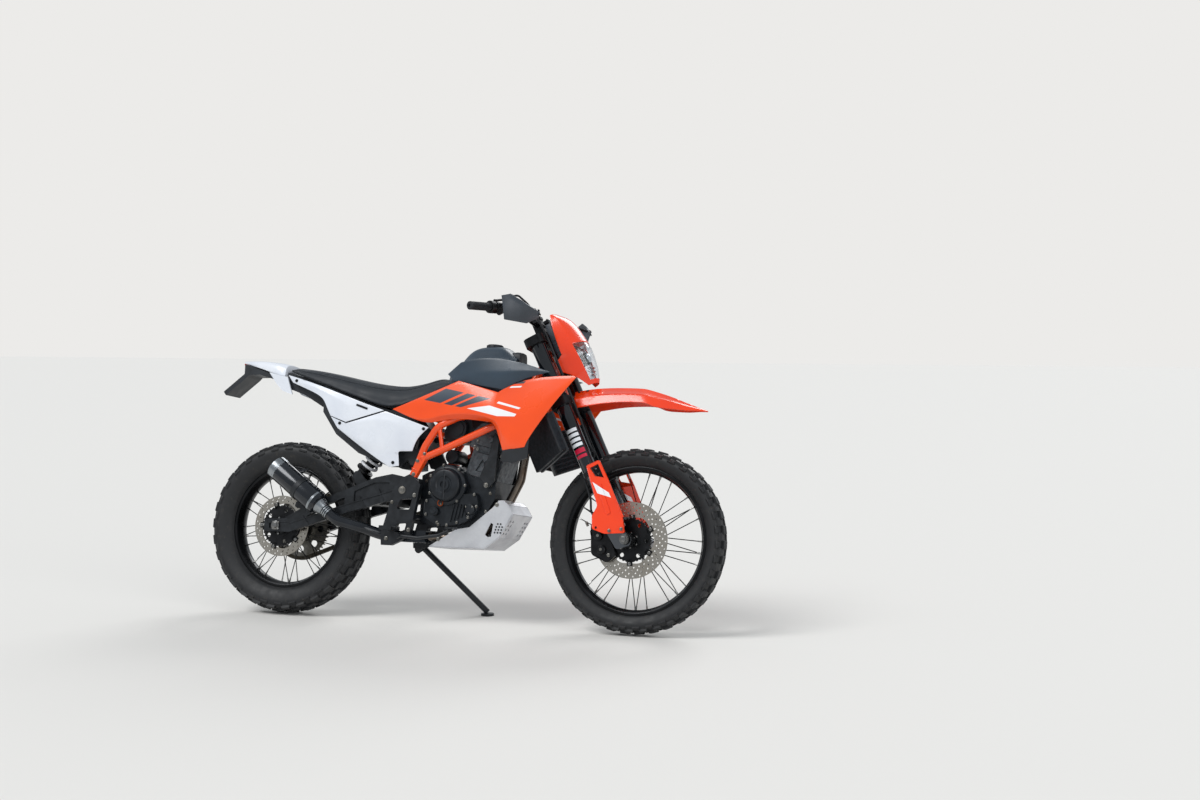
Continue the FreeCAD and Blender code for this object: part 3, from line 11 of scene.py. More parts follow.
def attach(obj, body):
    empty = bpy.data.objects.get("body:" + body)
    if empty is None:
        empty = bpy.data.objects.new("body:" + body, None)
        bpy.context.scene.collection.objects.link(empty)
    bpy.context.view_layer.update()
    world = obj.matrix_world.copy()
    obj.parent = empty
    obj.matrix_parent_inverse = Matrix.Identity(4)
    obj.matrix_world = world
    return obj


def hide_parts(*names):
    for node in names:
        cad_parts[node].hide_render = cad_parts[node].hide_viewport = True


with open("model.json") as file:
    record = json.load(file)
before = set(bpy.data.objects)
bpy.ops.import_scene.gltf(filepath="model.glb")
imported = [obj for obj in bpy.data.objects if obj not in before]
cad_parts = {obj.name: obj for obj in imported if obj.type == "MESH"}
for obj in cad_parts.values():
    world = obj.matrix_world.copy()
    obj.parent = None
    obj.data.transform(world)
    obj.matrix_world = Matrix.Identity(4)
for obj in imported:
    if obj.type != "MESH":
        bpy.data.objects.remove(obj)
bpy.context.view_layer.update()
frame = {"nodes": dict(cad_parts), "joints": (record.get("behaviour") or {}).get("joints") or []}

# Where the machine stands. Pieces are given in millimetres on the upright
# machine: X forward from the rear axle, Y to the rider's left, Z up. Pieces
# that steer are given along the steering axis, with X ahead of it.
LEAN = 9
RAKE, STEERING_FOOT = 27.1, 1588
WHEELBASE, FRONT_AXLE_HEIGHT, REAR_AXLE_HEIGHT = 1480, 347, 342
joints = {joint["name"]: joint for joint in frame["joints"]}
lean = Matrix.Rotation(radians(-LEAN), 4, "X")
shift = (Vector(joints["rear_spin"]["pos_m"])
         - lean @ Vector((0, 0, REAR_AXLE_HEIGHT / 1000)))
upright = Matrix.Translation(shift) @ lean @ Matrix.Scale(0.001, 4)
PLACES = {
    "chassis": upright,
    "steering": upright @ Matrix.Translation((STEERING_FOOT, 0, 0))
    @ Matrix.Rotation(radians(-RAKE), 4, "Y"),
    "front_wheel": upright @ Matrix.Translation((WHEELBASE, 0, FRONT_AXLE_HEIGHT)),
    "rear_wheel": upright @ Matrix.Translation((0, 0, REAR_AXLE_HEIGHT)),
}


def link(name, data):
    """Puts an object with its data into the scene."""
    made = bpy.data.objects.new(name, data)
    bpy.context.scene.collection.objects.link(made)
    return made


def aim(thing, way):
    """Turns a camera or a lamp to look along a direction."""
    thing.rotation_mode = "QUATERNION"
    thing.rotation_quaternion = way.to_track_quat("-Z", "Y")


# The camera stands where the photographer did: low, far off to the right and a
# little ahead, with a long lens.
camera = link("camera", bpy.data.cameras.new("camera"))
bpy.context.scene.camera = camera
camera.data.lens = 58.5
camera.data.sensor_width = 36
yaw, pitch = radians(21.4587), radians(2.4647)
camera.location = shift + Vector((4.00582, -6.75459, 1.18374))
aim(camera, Vector((-sin(yaw) * cos(pitch), cos(yaw) * cos(pitch), -sin(pitch))))


def colour(code):
    """The linear values of an sRGB hex colour."""
    parts = [int(code[place:place + 2], 16) / 255 for place in (0, 2, 4)]
    return [part / 12.92 if part <= 0.04045 else ((part + 0.055) / 1.055) ** 2.4
            for part in parts] + [1.0]


def add(tree, kind, sockets=None, **settings):
    """Adds a shader node with its settings, values and links."""
    node = tree.nodes.new("ShaderNode" + kind)
    for name, value in settings.items():
        setattr(node, name, value)
    for key, value in (sockets or {}).items():
        if isinstance(value, bpy.types.NodeSocket):
            tree.links.new(value, node.inputs[key])
        else:
            node.inputs[key].default_value = value
    return node


def blank(name, settings):
    """A new material with its shader's sockets set; gives it, its tree and its shader."""
    made = bpy.data.materials.new(name)
    made.use_nodes = True
    shader = made.node_tree.nodes["Principled BSDF"]
    for key, value in settings.items():
        shader.inputs[key].default_value = value
    return made, made.node_tree, shader


# The studio: a pale floor, a pale room that the camera sees, and three soft lamps
# far off, so that the floor stays even out to the horizon.
floor_paint = blank("studio_floor", {"Base Color": colour("DEDCD8"), "Roughness": 0.9})[0]
floor_mesh = bpy.data.meshes.new("studio_floor")
bm = bmesh.new()
bmesh.ops.create_grid(bm, x_segments=1, y_segments=1, size=40)
bm.to_mesh(floor_mesh)
bm.free()
floor_mesh.materials.append(floor_paint)
link("studio_floor", floor_mesh)
room = bpy.data.worlds.new("room")
bpy.context.scene.world = room
room.use_nodes = True
tree = room.node_tree
sky = tree.nodes["Background"]
sky.inputs["Color"].default_value = colour("E6ECF2")
sky.inputs["Strength"].default_value = 0.55
seen = add(tree, "Background", {"Color": colour("ECEBE9"), "Strength": 1.0})
path = add(tree, "LightPath")
either = add(tree, "Math", {0: path.outputs["Is Camera Ray"],
                            1: path.outputs["Is Transmission Ray"]}, operation="MAXIMUM")
both = add(tree, "MixShader", {0: either.outputs[0], 1: sky.outputs[0], 2: seen.outputs[0]})
tree.links.new(both.outputs[0], tree.nodes["World Output"].inputs["Surface"])

LAMPS = {
    "key": ((-3.0, -4.2, 6.0), 1.7, 28),
    "fill": ((6.0, -4.0, 2.6), 0.7, 40),
    "rim": ((0.5, 6.0, 4.0), 1.0, 30),
}
for name, (place, strength, width) in LAMPS.items():
    lamp = bpy.data.lights.new(name, "SUN")
    lamp.angle = radians(width)
    lamp.energy = strength
    holder = link(name, lamp)
    holder.location = place
    aim(holder, -Vector(place))

bpy.context.scene.view_settings.view_transform = "Standard"


def noise(tree, scale, detail=2.0, rough=0.5):
    """A noise over the piece, its scale in lumps a metre."""
    place = add(tree, "TexCoord").outputs["Object"]
    return add(tree, "TexNoise", {"Vector": place, "Scale": scale, "Detail": detail,
                                  "Roughness": rough}).outputs[0]


def surface(name, tone, shade, rough, metallic=0.0, mottle=60, grain=1.0, relief=0.1,
            stretch=(1, 1, 1), spread=0.08, coat=0.0):
    """A made surface: its tone drifts to a shade, its gloss is uneven, and a fine
    grain shows in the light. mottle and grain are sizes in millimetres."""
    made, tree, shader = blank(name, {"Metallic": metallic, "Coat Weight": coat,
                                      "Coat Roughness": 0.08})
    place = add(tree, "TexCoord").outputs["Object"]
    run = add(tree, "Mapping", {"Vector": place, "Scale": stretch}).outputs[0]
    drift = noise(tree, 1000 / mottle, 4.0)
    fine = add(tree, "TexNoise", {"Vector": run, "Scale": 1000 / grain, "Detail": 2.0})
    weight = add(tree, "MapRange", {"Value": drift, "From Min": 0.38, "From Max": 0.68})
    tint = add(tree, "Mix", {0: weight.outputs[0], 6: colour(tone), 7: colour(shade)},
               data_type="RGBA")
    gloss = add(tree, "MapRange", {"Value": drift, "From Min": 0.3, "From Max": 0.7,
                                   "To Min": max(rough - spread, 0.02), "To Max": rough + spread})
    bump = add(tree, "Bump", {"Height": fine.outputs[0], "Strength": relief, "Distance": 0.0004})
    tree.links.new(tint.outputs[2], shader.inputs["Base Color"])
    tree.links.new(gloss.outputs[0], shader.inputs["Roughness"])
    tree.links.new(bump.outputs[0], shader.inputs["Normal"])
    return made


def cover(made, mask, code):
    """Lays a colour over the material's own where a mask is 1."""
    tree = made.node_tree
    base = tree.nodes["Principled BSDF"].inputs["Base Color"]
    laid = add(tree, "Mix", {0: mask, 6: base.links[0].from_socket, 7: colour(code)},
               data_type="RGBA")
    tree.links.new(laid.outputs[2], base)


def join(bm, part, place=Matrix.Identity(4), finish=None):
    """Puts a part into a piece, at its place, with a finish or else its own."""
    bmesh.ops.transform(part, matrix=place, verts=part.verts)
    if place.determinant() < 0:
        bmesh.ops.reverse_faces(part, faces=part.faces)
    if finish is not None:
        for face in part.faces:
            face.material_index = finish
    mesh = bpy.data.meshes.new("part")
    part.to_mesh(mesh)
    part.free()
    bm.from_mesh(mesh)
    bpy.data.meshes.remove(mesh)


def pair(bm, part, place=Matrix.Identity(4), finish=None):
    """Puts a part into a piece at its place on the left, and mirrored on the right."""
    join(bm, part.copy(), place, finish)
    join(bm, part, Matrix.Scale(-1, 4, (0, 1, 0)) @ place, finish)


def keep(bm, name, body, finishes, stands_for="", sharp=30, place=None):
    """Makes the piece an object that rides on its body; finishes are its materials.
    Its map "side" holds each corner's upright side view in metres, for printed shapes."""
    side = bm.loops.layers.uv.new("side")
    for face in bm.faces:
        for corner in face.loops:
            corner[side].uv = corner.vert.co.xz / 1000
    bmesh.ops.transform(bm, matrix=place or PLACES[body], verts=bm.verts)
    mesh = bpy.data.meshes.new(name)
    bm.to_mesh(mesh)
    bm.free()
    mesh.shade_smooth()
    mesh.set_sharp_from_angle(angle=radians(sharp))
    for finish in finishes:
        mesh.materials.append(finish)
    piece = link(name, mesh)
    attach(piece, body)
    if stands_for:
        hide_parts(stands_for)
    return piece


def at(x, y, z):
    return Matrix.Translation((x, y, z))


def turn(degrees_round, axis="Y"):
    return Matrix.Rotation(radians(degrees_round), 4, axis)


# A bar along Z turned to point out to the left, and to the right.
LEFT, RIGHT = turn(-90, "X"), turn(90, "X")

# The tyres are vulcanised rubber, an open block tread on a smooth round casing.
# The blocks are cast with the casing and taper a little to leave the mould.
# Worn corners are matt and pale with dust, and the flanks keep a soft sheen.
rubber = surface("vulcanised_rubber", "101215", "18191C", 0.58, mottle=35, grain=1.5, relief=0.35,
                 spread=0.1)
tree = rubber.node_tree
dusty = add(tree, "MapRange", {"Value": noise(tree, 55.0, 6.0, 0.7), "From Min": 0.56,
                               "From Max": 0.8, "To Max": 0.3})
cover(rubber, dusty.outputs[0], "5E554A")


def turned(outline, steps=96):
    """Spins a closed (radius, along Y) outline round the Y axis."""
    bm = bmesh.new()
    verts = [bm.verts.new((radius, along, 0)) for radius, along in outline]
    edges = [bm.edges.new(ends) for ends in zip(verts, verts[1:] + verts[:1])]
    bmesh.ops.spin(bm, geom=verts + edges, cent=(0, 0, 0), axis=(0, 1, 0), angle=2 * pi,
                   steps=steps, use_merge=True)
    bmesh.ops.remove_doubles(bm, verts=bm.verts, dist=0.001)
    bmesh.ops.recalc_face_normals(bm, faces=bm.faces)
    return bm


def collar(inner, outer, low, high, steps=36):
    """A plain ring round the Y axis, from low to high along it."""
    return turned([(inner, low), (outer, low), (outer, high), (inner, high)], steps)


def mirrored(half):
    """A closed outline from its half of (radius, along) points, and its mirror image."""
    return half + [(radius, -along) for radius, along in reversed(half) if along]


def block(x, y, z, edge=0.0, segments=1, top=1.0):
    """A box with broken edges; top is how much its upper side narrows."""
    bm = bmesh.new()
    bmesh.ops.create_cube(bm, size=1)
    bmesh.ops.scale(bm, vec=(x, y, z), verts=bm.verts)
    bmesh.ops.scale(bm, vec=(top, top, 1), verts=[v for v in bm.verts if v.co.z > 0])
    if edge:
        bmesh.ops.bevel(bm, geom=bm.edges, offset=edge, offset_type="OFFSET", profile=0.5,
                        segments=segments, affect="EDGES", clamp_overlap=True, material=-1)
    return bm


# Casing outlines from the bead to the crown, (radius, half width), and the blocks of
# one pitch on one side: along the tread, across it, height, place across, radius of
# the top, tilt, share of a pitch ahead.
TYRES = {
    "front": {
        "half": [(272, 22.5), (279.6, 23.4), (279.6, 27.5), (283, 31), (287, 34), (291, 36),
                 (303, 43), (316, 44.5), (325, 42), (331, 36), (335, 26),
                 (336.6, 14), (337, 0)],
        "pitches": 38,
        "blocks": [(33, 17.6, 14, 9.6, 346.3, 2, 0.0), (34, 17, 16, 32, 339.4, 14, 0.5),
                   (32, 9, 18, 41, 329, 42, 0.0)]},
    "rear": {
        "half": [(236, 33.5), (243.6, 34.6), (243.6, 38.6), (248, 44), (252, 49), (258, 54),
                 (275, 63), (292, 67), (306, 68), (318, 62), (325, 48), (330, 34),
                 (331.6, 16), (332, 0)],
        "pitches": 30,
        "blocks": [(40, 18, 14, 10.4, 341, 2, 0.0), (41, 17, 15, 33.4, 337, 10, 0.5),
                   (41, 18, 20, 55.5, 328.6, 20, 0.0), (36, 9, 20, 63, 314, 46, 0.5)]},
}
for end, tyre in TYRES.items():
    bm = turned(mirrored(tyre["half"]), 114)
    for pitch in range(tyre["pitches"]):
        for long, wide, high, across, top, tilt, ahead in tyre["blocks"]:
            angle = 90 - 360 * (pitch + ahead) / tyre["pitches"]
            for side in (1, -1):
                join(bm, block(long, wide, high, 1.6, top=0.9), turn(angle)
                     @ at(0, side * across, top - high / 2) @ turn(-side * tilt, "X"))
    keep(bm, end + "_tyre_tread", end + "_wheel", [rubber], end + "_tyre",
         35)

# The rims are rolled aluminium, black anodised, with deep flanges that the
# stones have rubbed bright at the very edge.
black_rim = surface("black_anodised_rim", "0D0E10", "17181B", 0.3, metallic=0.6, mottle=90,
                    grain=2.0, relief=0.04)
RIMS = {"front": (279, 27), "rear": (243, 38)}
for end, (edge, half) in RIMS.items():
    outline = [(edge - 19, half * 0.36), (edge - 15, half * 0.5), (edge - 9, half - 4.6),
               (edge - 1, half - 3), (edge, half - 2.2), (edge - 0.8, half - 0.8),
               (edge - 3, half), (edge - 8, half), (edge - 12, half - 1.4),
               (edge - 17, half * 0.62), (edge - 22.5, half * 0.4), (edge - 23, 0)]
    keep(turned(mirrored(outline), 120), end + "_wheel_rim", end + "_wheel",
         [black_rim], end + "_rim", 35)

# The hubs are machined from bar and anodised black. Thirty-six stainless wires
# with a black finish run from the drilled flanges to plated nipples in the rim.
black_machined = surface("black_machined_alloy", "101113", "1B1C1F", 0.36, metallic=0.55, mottle=30,
                         grain=0.7, relief=0.12)
spoke_wire = surface("black_spoke_wire", "1A1A1B", "2C2C2D", 0.32, metallic=0.8, mottle=20,
                     relief=0.05)
nickel = surface("nickel_plate", "8F8F8E", "6E6C68", 0.28, metallic=1.0, mottle=15, relief=0.06)


def round_bar(radius, length, sides=16, edge=0.0, far=None):
    """A bar along Z from the origin, its ends' edges broken; far is its far radius."""
    bm = bmesh.new()
    bmesh.ops.create_cone(bm, cap_ends=True, cap_tris=False, segments=sides, radius1=radius,
                          radius2=radius if far is None else far, depth=length,
                          matrix=at(0, 0, length / 2))
    if edge:
        rims = [e for e in bm.edges if len(e.link_faces) == 2
                and any(len(f.verts) > 4 for f in e.link_faces)]
        bmesh.ops.bevel(bm, geom=rims, offset=edge, offset_type="OFFSET", profile=0.5,
                        segments=2, affect="EDGES", clamp_overlap=True, material=-1)
    return bm


def between(start, end):
    """The place of a bar that starts at one point and aims at another."""
    start, end = Vector(start), Vector(end)
    return Matrix.Translation(start) @ (end - start).to_track_quat("Z", "Y").to_matrix().to_4x4()


def rod(start, end, radius, sides=12, edge=0.0, far=None):
    """A round bar from one point to another."""
    length = (Vector(end) - Vector(start)).length
    bm = round_bar(radius, length, sides, edge, far)
    bmesh.ops.transform(bm, matrix=between(start, end), verts=bm.verts)
    return bm


# barrel outline from the middle out, (radius, along), flange radius and place
HUBS = {
    "front": ([(18, 0), (19, 18), (24, 26), (36, 29.5), (38, 31), (38, 35.5), (36, 37), (28, 39),
               (26, 46), (25, 56), (22, 58), (12.6, 58)], 38, 33, 256),
    "rear": ([(24, 0), (25, 24), (30, 33), (43, 36.5), (46, 38), (46, 42.5), (44, 44), (32, 47),
              (30, 58), (28, 65), (25, 66), (12.6, 66)], 46, 40, 220),
}
for end, (half, flange, flange_place, well) in HUBS.items():
    bm = turned(mirrored(half), 48)
    for side in (-1, 1):
        for lead in (-1, 1):
            start = Vector((flange - 4, side * (flange_place + lead * 2), 0))
            angle = radians(lead * 38)
            finish = Vector((well * cos(angle), side * lead * 3 + side * 4, well * sin(angle)))
            seat = finish + (start - finish).normalized() * 17
            for count in range(9):
                spun = turn((side + 1) * 5 + (lead + 1) * 3 + count * 40)
                join(bm, rod(start, finish, 1.9, 6), spun, 1)
                join(bm, rod(finish, seat, 3.4, 8, far=2.6), spun, 2)
                join(bm, rod(start - Vector((0, 3.5 * side * lead, 0)),
                             start + Vector((0, 3.5 * side * lead, 0)), 3.0, 8), spun, 1)
    keep(bm, end + "_wheel_hub", end + "_wheel",
         [black_machined, spoke_wire, nickel], end + "_hub", 35)

# The brake discs are laser-cut stainless steel, ground to a fine grain, with
# drilled rounds and a wavy inside, riveted to a toothed carrier of black alloy.
disc_steel = surface("ground_disc_steel", "B7B1A7", "A19B91", 0.3, metallic=1.0, mottle=40,
                     grain=0.8, relief=0.12)


def plate(points, depth, corner=0.0, edge=0.0, holes=()):
    """A flat plate in X and Z from Y 0 to depth. Its corners are rounded, its faces'
    edges chamfered; holes are rounds (x, z, radius) or lists of points."""
    bm = bmesh.new()
    bm.faces.new([bm.verts.new((x, 0, z)) for x, z in points])
    if corner:
        bmesh.ops.bevel(bm, geom=bm.verts, offset=corner, offset_type="OFFSET", profile=0.5,
                        segments=4, affect="VERTICES", clamp_overlap=True, material=-1)
    if holes:
        for face in list(bm.faces):
            bm.faces.remove(face)
        for hole in holes:
            if isinstance(hole, tuple):
                x, z, radius = hole
                bmesh.ops.create_circle(bm, segments=14, radius=radius,
                                        matrix=at(x, 0, z) @ RIGHT)
            else:
                ring = [bm.verts.new((x, 0, z)) for x, z in hole]
                for one, other in zip(ring, ring[1:] + ring[:1]):
                    bm.edges.new((one, other))
        bmesh.ops.triangle_fill(bm, use_beauty=True, edges=bm.edges)
    raised = bmesh.ops.extrude_face_region(bm, geom=bm.faces)["geom"]
    bmesh.ops.translate(bm, vec=(0, depth, 0),
                        verts=[item for item in raised if isinstance(item, bmesh.types.BMVert)])
    bmesh.ops.recalc_face_normals(bm, faces=bm.faces)
    if edge:
        for side in (-1, 1):
            cap = [face for face in bm.faces if face.normal.y * side > 0.99]
            bmesh.ops.inset_region(bm, faces=cap, thickness=edge, depth=-edge,
                                   use_even_offset=True)
    return bm


def ring_of(count, radius, start=0.0):
    """Places round a circle, (x, z), the first at a start angle in degrees."""
    return [(radius * cos(radians(start) + 2 * pi * step / count),
             radius * sin(radians(start) + 2 * pi * step / count)) for step in range(count)]


# outer radius, inner radius, offset, arms, boss radius, hub's half length, hole rows
DISCS = {
    "front": (142.5, 88, -68, 6, 34, 58, 4),
    "rear": (120, 88, -80, 5, 40, 66, 2),
}
AXLE_BORE = 12.6
for end, (outer, inner, offset, arms, boss, hub_half, rows) in DISCS.items():
    drilled = [(x, z, 3.4) for row in range(rows)
               for x, z in ring_of(arms * 5, outer - 8 - 11 * row, row * 5)]
    waves = []
    for step, (x, z) in enumerate(ring_of(120, inner)):
        swell = 1 + 0.04 * cos(arms * 2 * pi * step / 120)
        waves.append((x * swell, z * swell))
    bm = plate(ring_of(120, outer), 4.5, edge=0.5, holes=drilled + [waves])
    bmesh.ops.translate(bm, vec=(0, offset - 2.25, 0), verts=bm.verts)
    keep(bm, end + "_brake_disc", end + "_wheel", [disc_steel], end + "_disc",
         35)
    # the carrier: a black toothed plate dished out from the hub
    teeth = []
    for count, (x, z) in enumerate(ring_of(144, 1.0)):
        radius = inner - (6 if count % 4 < 2 else 9)
        teeth.append((radius * x, radius * z))
    windows = [(x, z, 8) for x, z in ring_of(arms, inner - 24)]
    bm = bmesh.new()
    join(bm, plate(teeth, 3.6, edge=0.5, holes=[(0, 0, AXLE_BORE)] + windows),
         at(0, offset - 5.4, 0))
    join(bm, collar(AXLE_BORE, boss, -hub_half, offset))
    join(bm, collar(boss - 3, boss + 3, offset - 5, offset - 7.5, 48))
    for step in range(arms):
        arm = turn(-360 * (step + 0.5) / arms)
        join(bm, block(26, 3, 22, 1), arm @ at(inner - 6, offset - 3.4, 0))
        join(bm, round_bar(6.5, 6, 14, 0.8), arm @ at(inner - 1, offset - 2.4, 0) @ RIGHT, 1)
        join(bm, round_bar(5, 4, 6, 0.6), arm @ at(boss - 8, offset - 4, 0) @ RIGHT, 1)
    keep(bm, end + "_disc_carrier", end + "_wheel", [black_machined, nickel],
         sharp=35)

# The rear sprocket is stamped steel, zinc plated; the chain is oiled steel with
# gold-brown grime between its plates, and both axles are bright turned steel.
zinc = surface("zinc_plated_steel", "8D8B86", "6A665F", 0.34, metallic=1.0, mottle=25, grain=0.8)
oiled = surface("oiled_chain_steel", "4B463D", "2E2A25", 0.38, metallic=0.9, mottle=8, relief=0.3)


def dress(finish, *names):
    """Gives carried CAD pieces their finish."""
    for name in names:
        for holder in frame["nodes"][name].material_slots:
            holder.material = finish


dress(zinc, "rear_sprocket")
dress(nickel, "front_axle", "rear_axle")
dress(oiled, "chain")

# The trellis frame is welded from chromium-molybdenum tube and powder coated in
# a glossy orange; the beads of the welds show through the coat as fine ripples.
orange_coat = surface("orange_powder_coat", "F04E0C", "E8470A", 0.22, mottle=120, grain=1.2,
                      relief=0.14, spread=0.05, coat=0.5)
dress(orange_coat, "frame")


def bead(centre, way, radius, size=2.4):
    """A weld bead round a tube: overlapping small drops."""
    bm = bmesh.new()
    spot = Matrix.Translation(centre) @ Vector(way).to_track_quat("Z", "Y").to_matrix().to_4x4()
    count = int(2 * pi * radius / (size * 1.3))
    for step in range(count):
        angle = 2 * pi * step / count
        bmesh.ops.create_icosphere(bm, subdivisions=1, radius=size, matrix=spot @ at(
            radius * cos(angle), radius * sin(angle), 0))
    return bm


bm = bmesh.new()
for side in (-1, 1):
    for centre, way, radius in (
            ((632, 138, 622), (84, 0, 36), 14.4), ((606, 138, 580), (34, 0, 93), 14.4),
            ((700, 138, 738), (17, 0, -85), 8.6), ((713, 138, 668), (17, 0, -85), 8.6),
            ((930, 102, 837), (0, 1, 0), 12.4), ((672, 126, 722), (0, 1, 0), 11.6)):
        join(bm, bead((centre[0], side * centre[1], centre[2]), (way[0], side * way[1], way[2]),
                      radius))
keep(bm, "frame_welds", "chassis", [orange_coat], sharp=60)

# The pivot castings are gravity-cast alloy, shot blasted and painted black. Pale
# zinc bolts with flanged heads hold them to the frame and the engine.
black_cast = surface("black_painted_casting", "121519", "1C2025", 0.42, metallic=0.2, mottle=25,
                     grain=0.9, relief=0.35)
dress(black_cast, "pivot_castings", "side_stand", "sprocket_cover")


def bolt(radius, height):
    """A flanged hexagon bolt head along Z, its crown dished."""
    bm = round_bar(radius * 1.35, 1.6, 18, 0.5)
    join(bm, round_bar(radius, height, 6, 0.7), at(0, 0, 1.4))
    join(bm, round_bar(radius * 0.55, 0.6, 12), at(0, 0, height + 1.2))
    return bm


def bolts(bm, radius, height, y, spots, finish=0):
    """Bolts that face outwards at places (x, z) on both sides of a piece."""
    for x, z in spots:
        pair(bm, bolt(radius, height), at(x, y, z) @ LEFT, finish)


bm = bmesh.new()
CASTING_SIDE = 150.2
bolts(bm, 6, 5, CASTING_SIDE, [(505, 310), (598, 346), (614, 480), (604, 560), (618, 612)])
bolts(bm, 5, 5, CASTING_SIDE, [(520, 450), (646, 640)])
bolts(bm, 11, 5, CASTING_SIDE, [(560, 498)])
keep(bm, "casting_bolts", "chassis", [zinc])

# The swingarm is a one-piece casting with long ribs and open pockets between
# them, black like the frame castings.
dress(black_cast, "swingarm", "rear_caliper")
bm = bmesh.new()
for (x0, z0), (x1, z1), width in (
        ((60, 352), (300, 432), 5), ((300, 432), (520, 500), 5), ((120, 384), (150, 350), 4),
        ((240, 420), (270, 388), 4), ((360, 470), (392, 432), 4), ((440, 505), (470, 456), 4),
        ((-40, 352), (50, 356), 4)):
    rib = block(Vector((x1 - x0, z1 - z0)).length, 3, width, 1.0)
    pair(bm, rib, at((x0 + x1) / 2, 126.8, (z0 + z1) / 2)
         @ turn(-degrees(atan2(z1 - z0, x1 - x0))))
keep(bm, "swingarm_ribs", "chassis", [black_cast])

# Chain adjusters: bright anodised blocks behind the rear axle with a screw each,
# and the axle's nut and washer.
bm = bmesh.new()
pair(bm, block(30, 6, 34, 1.5), at(0, 129, REAR_AXLE_HEIGHT))
pair(bm, rod((-58, 113, REAR_AXLE_HEIGHT), (-30, 113, REAR_AXLE_HEIGHT), 4, 10, 0.6))
pair(bm, bolt(6, 5), at(-56, 113, REAR_AXLE_HEIGHT) @ turn(-90))
bolts(bm, 13, 8, 131, [(0, REAR_AXLE_HEIGHT)])
keep(bm, "chain_adjusters", "chassis", [nickel])

# The shock absorber: a hard-anodised body, a gold-tinted collar and a white
# powder-coated coil spring wound from ten millimetre wire.
white_coat = surface("white_powder_coat", "E4E6EA", "D5D8DE", 0.3, mottle=30)
dress(black_machined, "shock")


def swept(points, radius, sides=10, bend=30.0):
    """A round tube along straight runs joined by bends."""
    points = [Vector(point) for point in points]
    path = points[:1]
    for before, corner, after in zip(points, points[1:], points[2:]):
        back, on = (before - corner), (after - corner)
        reach = min(bend, 0.45 * back.length, 0.45 * on.length)
        begin, finish = corner + back.normalized() * reach, corner + on.normalized() * reach
        for share in (0, 0.2, 0.4, 0.6, 0.8, 1):
            path.append(begin.lerp(corner, share).lerp(corner.lerp(finish, share), share))
    path.append(points[-1])
    return along(path, radius, sides)


def along(path, radius, sides=10):
    """A round tube through a line of points."""
    bm = bmesh.new()
    ways = [(after - before).normalized() for before, after in zip(path, path[1:])]
    aims = [ways[0]] + [(one + other).normalized() for one, other in zip(ways, ways[1:])]
    aims.append(ways[-1])
    spin = aims[0].to_track_quat("Z", "Y")
    last = Matrix.Translation(path[0]) @ spin.to_matrix().to_4x4()
    bmesh.ops.create_circle(bm, cap_ends=True, segments=sides, radius=radius, matrix=last)
    front = bm.faces[:][0]
    for place, aim, old in zip(path[1:], aims[1:], aims):
        spin = old.rotation_difference(aim) @ spin
        here = Matrix.Translation(place) @ spin.to_matrix().to_4x4()
        made = bmesh.ops.extrude_face_region(bm, geom=[front])["geom"]
        front = next(item for item in made if isinstance(item, bmesh.types.BMFace))
        bmesh.ops.transform(bm, matrix=here @ last.inverted(), verts=front.verts)
        last = here
    bmesh.ops.recalc_face_normals(bm, faces=bm.faces)
    return bm


shock_foot, shock_top = Vector((308, -30, 556)), Vector((490, -30, 742))
SPRING_FOOT, SPRING_TOP, COIL_PITCH, WIRE = 34, 52, 27, 5.9
spring = between(shock_foot, shock_top) @ at(0, 0, SPRING_FOOT)
climb = (shock_top - shock_foot).length - SPRING_FOOT - SPRING_TOP - 12
steps = 182
coil = []
for step in range(steps + 1):
    angle = 2 * pi * climb / COIL_PITCH * step / steps
    coil.append(spring @ Vector((31 * cos(angle), 31 * sin(angle), 6 + climb * step / steps)))
keep(along(coil, WIRE), "coil_spring", "chassis", [white_coat], "shock_spring", 60)

# The engine cases are die-cast aluminium painted satin black. The clutch cover is
# domed with a rolled step and a raised rib, the lower cover carries cooling ribs,
# and zinc screws hold both all round.
engine_black = surface("satin_black_casting", "14181D", "1E2329", 0.38, metallic=0.3, mottle=30,
                       grain=0.8, relief=0.3)
copper = surface("copper_ring", "B4562A", "8A3D1E", 0.3, metallic=1.0, mottle=10, grain=0.8)
black_hose = surface("coolant_hose_rubber", "101418", "171B1F", 0.6, mottle=40, relief=0.3)
dress(engine_black, "engine_case")
CASE_SIDE, CLUTCH, GENERATOR = 88.4, at(733, 0, 525), at(838, 0, 462)


def screw(bm, place, length, sides=16):
    """A cover's screw in its boss, which stands on the case's side at a place on Y 0."""
    out, aside = (length, LEFT) if length > 0 else (-length, RIGHT)
    edge = CASE_SIDE if length > 0 else -CASE_SIDE
    join(bm, round_bar(8, out, sides, 1), place @ at(0, edge, 0) @ aside)
    join(bm, bolt(4, 4), place @ at(0, edge + length, 0) @ aside, 1)


bm = bmesh.new()
join(bm, turned([(0, -143), (30, -143), (34, -146), (50, -146), (57, -144), (62, -138),
                 (64, -128), (66, -121), (70, -119.5), (76, -119.5), (78, -117),
                 (78, -CASE_SIDE), (0, -CASE_SIDE)], 72), CLUTCH)
join(bm, block(9, 6, 112, 2), CLUTCH @ at(0, -145.5, -3))
join(bm, collar(14, 22, -145, -147.5), CLUTCH)
for x, z in ring_of(7, 77):
    screw(bm, CLUTCH @ at(x, 0, z), -31)
join(bm, turned([(0, -131.4), (10, -131.4), (11, -129), (15, -129), (17, -126),
                 (17, -CASE_SIDE), (0, -CASE_SIDE)], 30), at(690, 0, 424))
join(bm, block(20, 5, 5, 1), at(690, -131, 424) @ turn(35))
LOWER = [(640, 470), (860, 500), (872, 440), (838, 395), (790, 374), (700, 364), (640, 400)]
join(bm, plate(LOWER, 26, corner=12, edge=2), at(0, -114.4, 0))
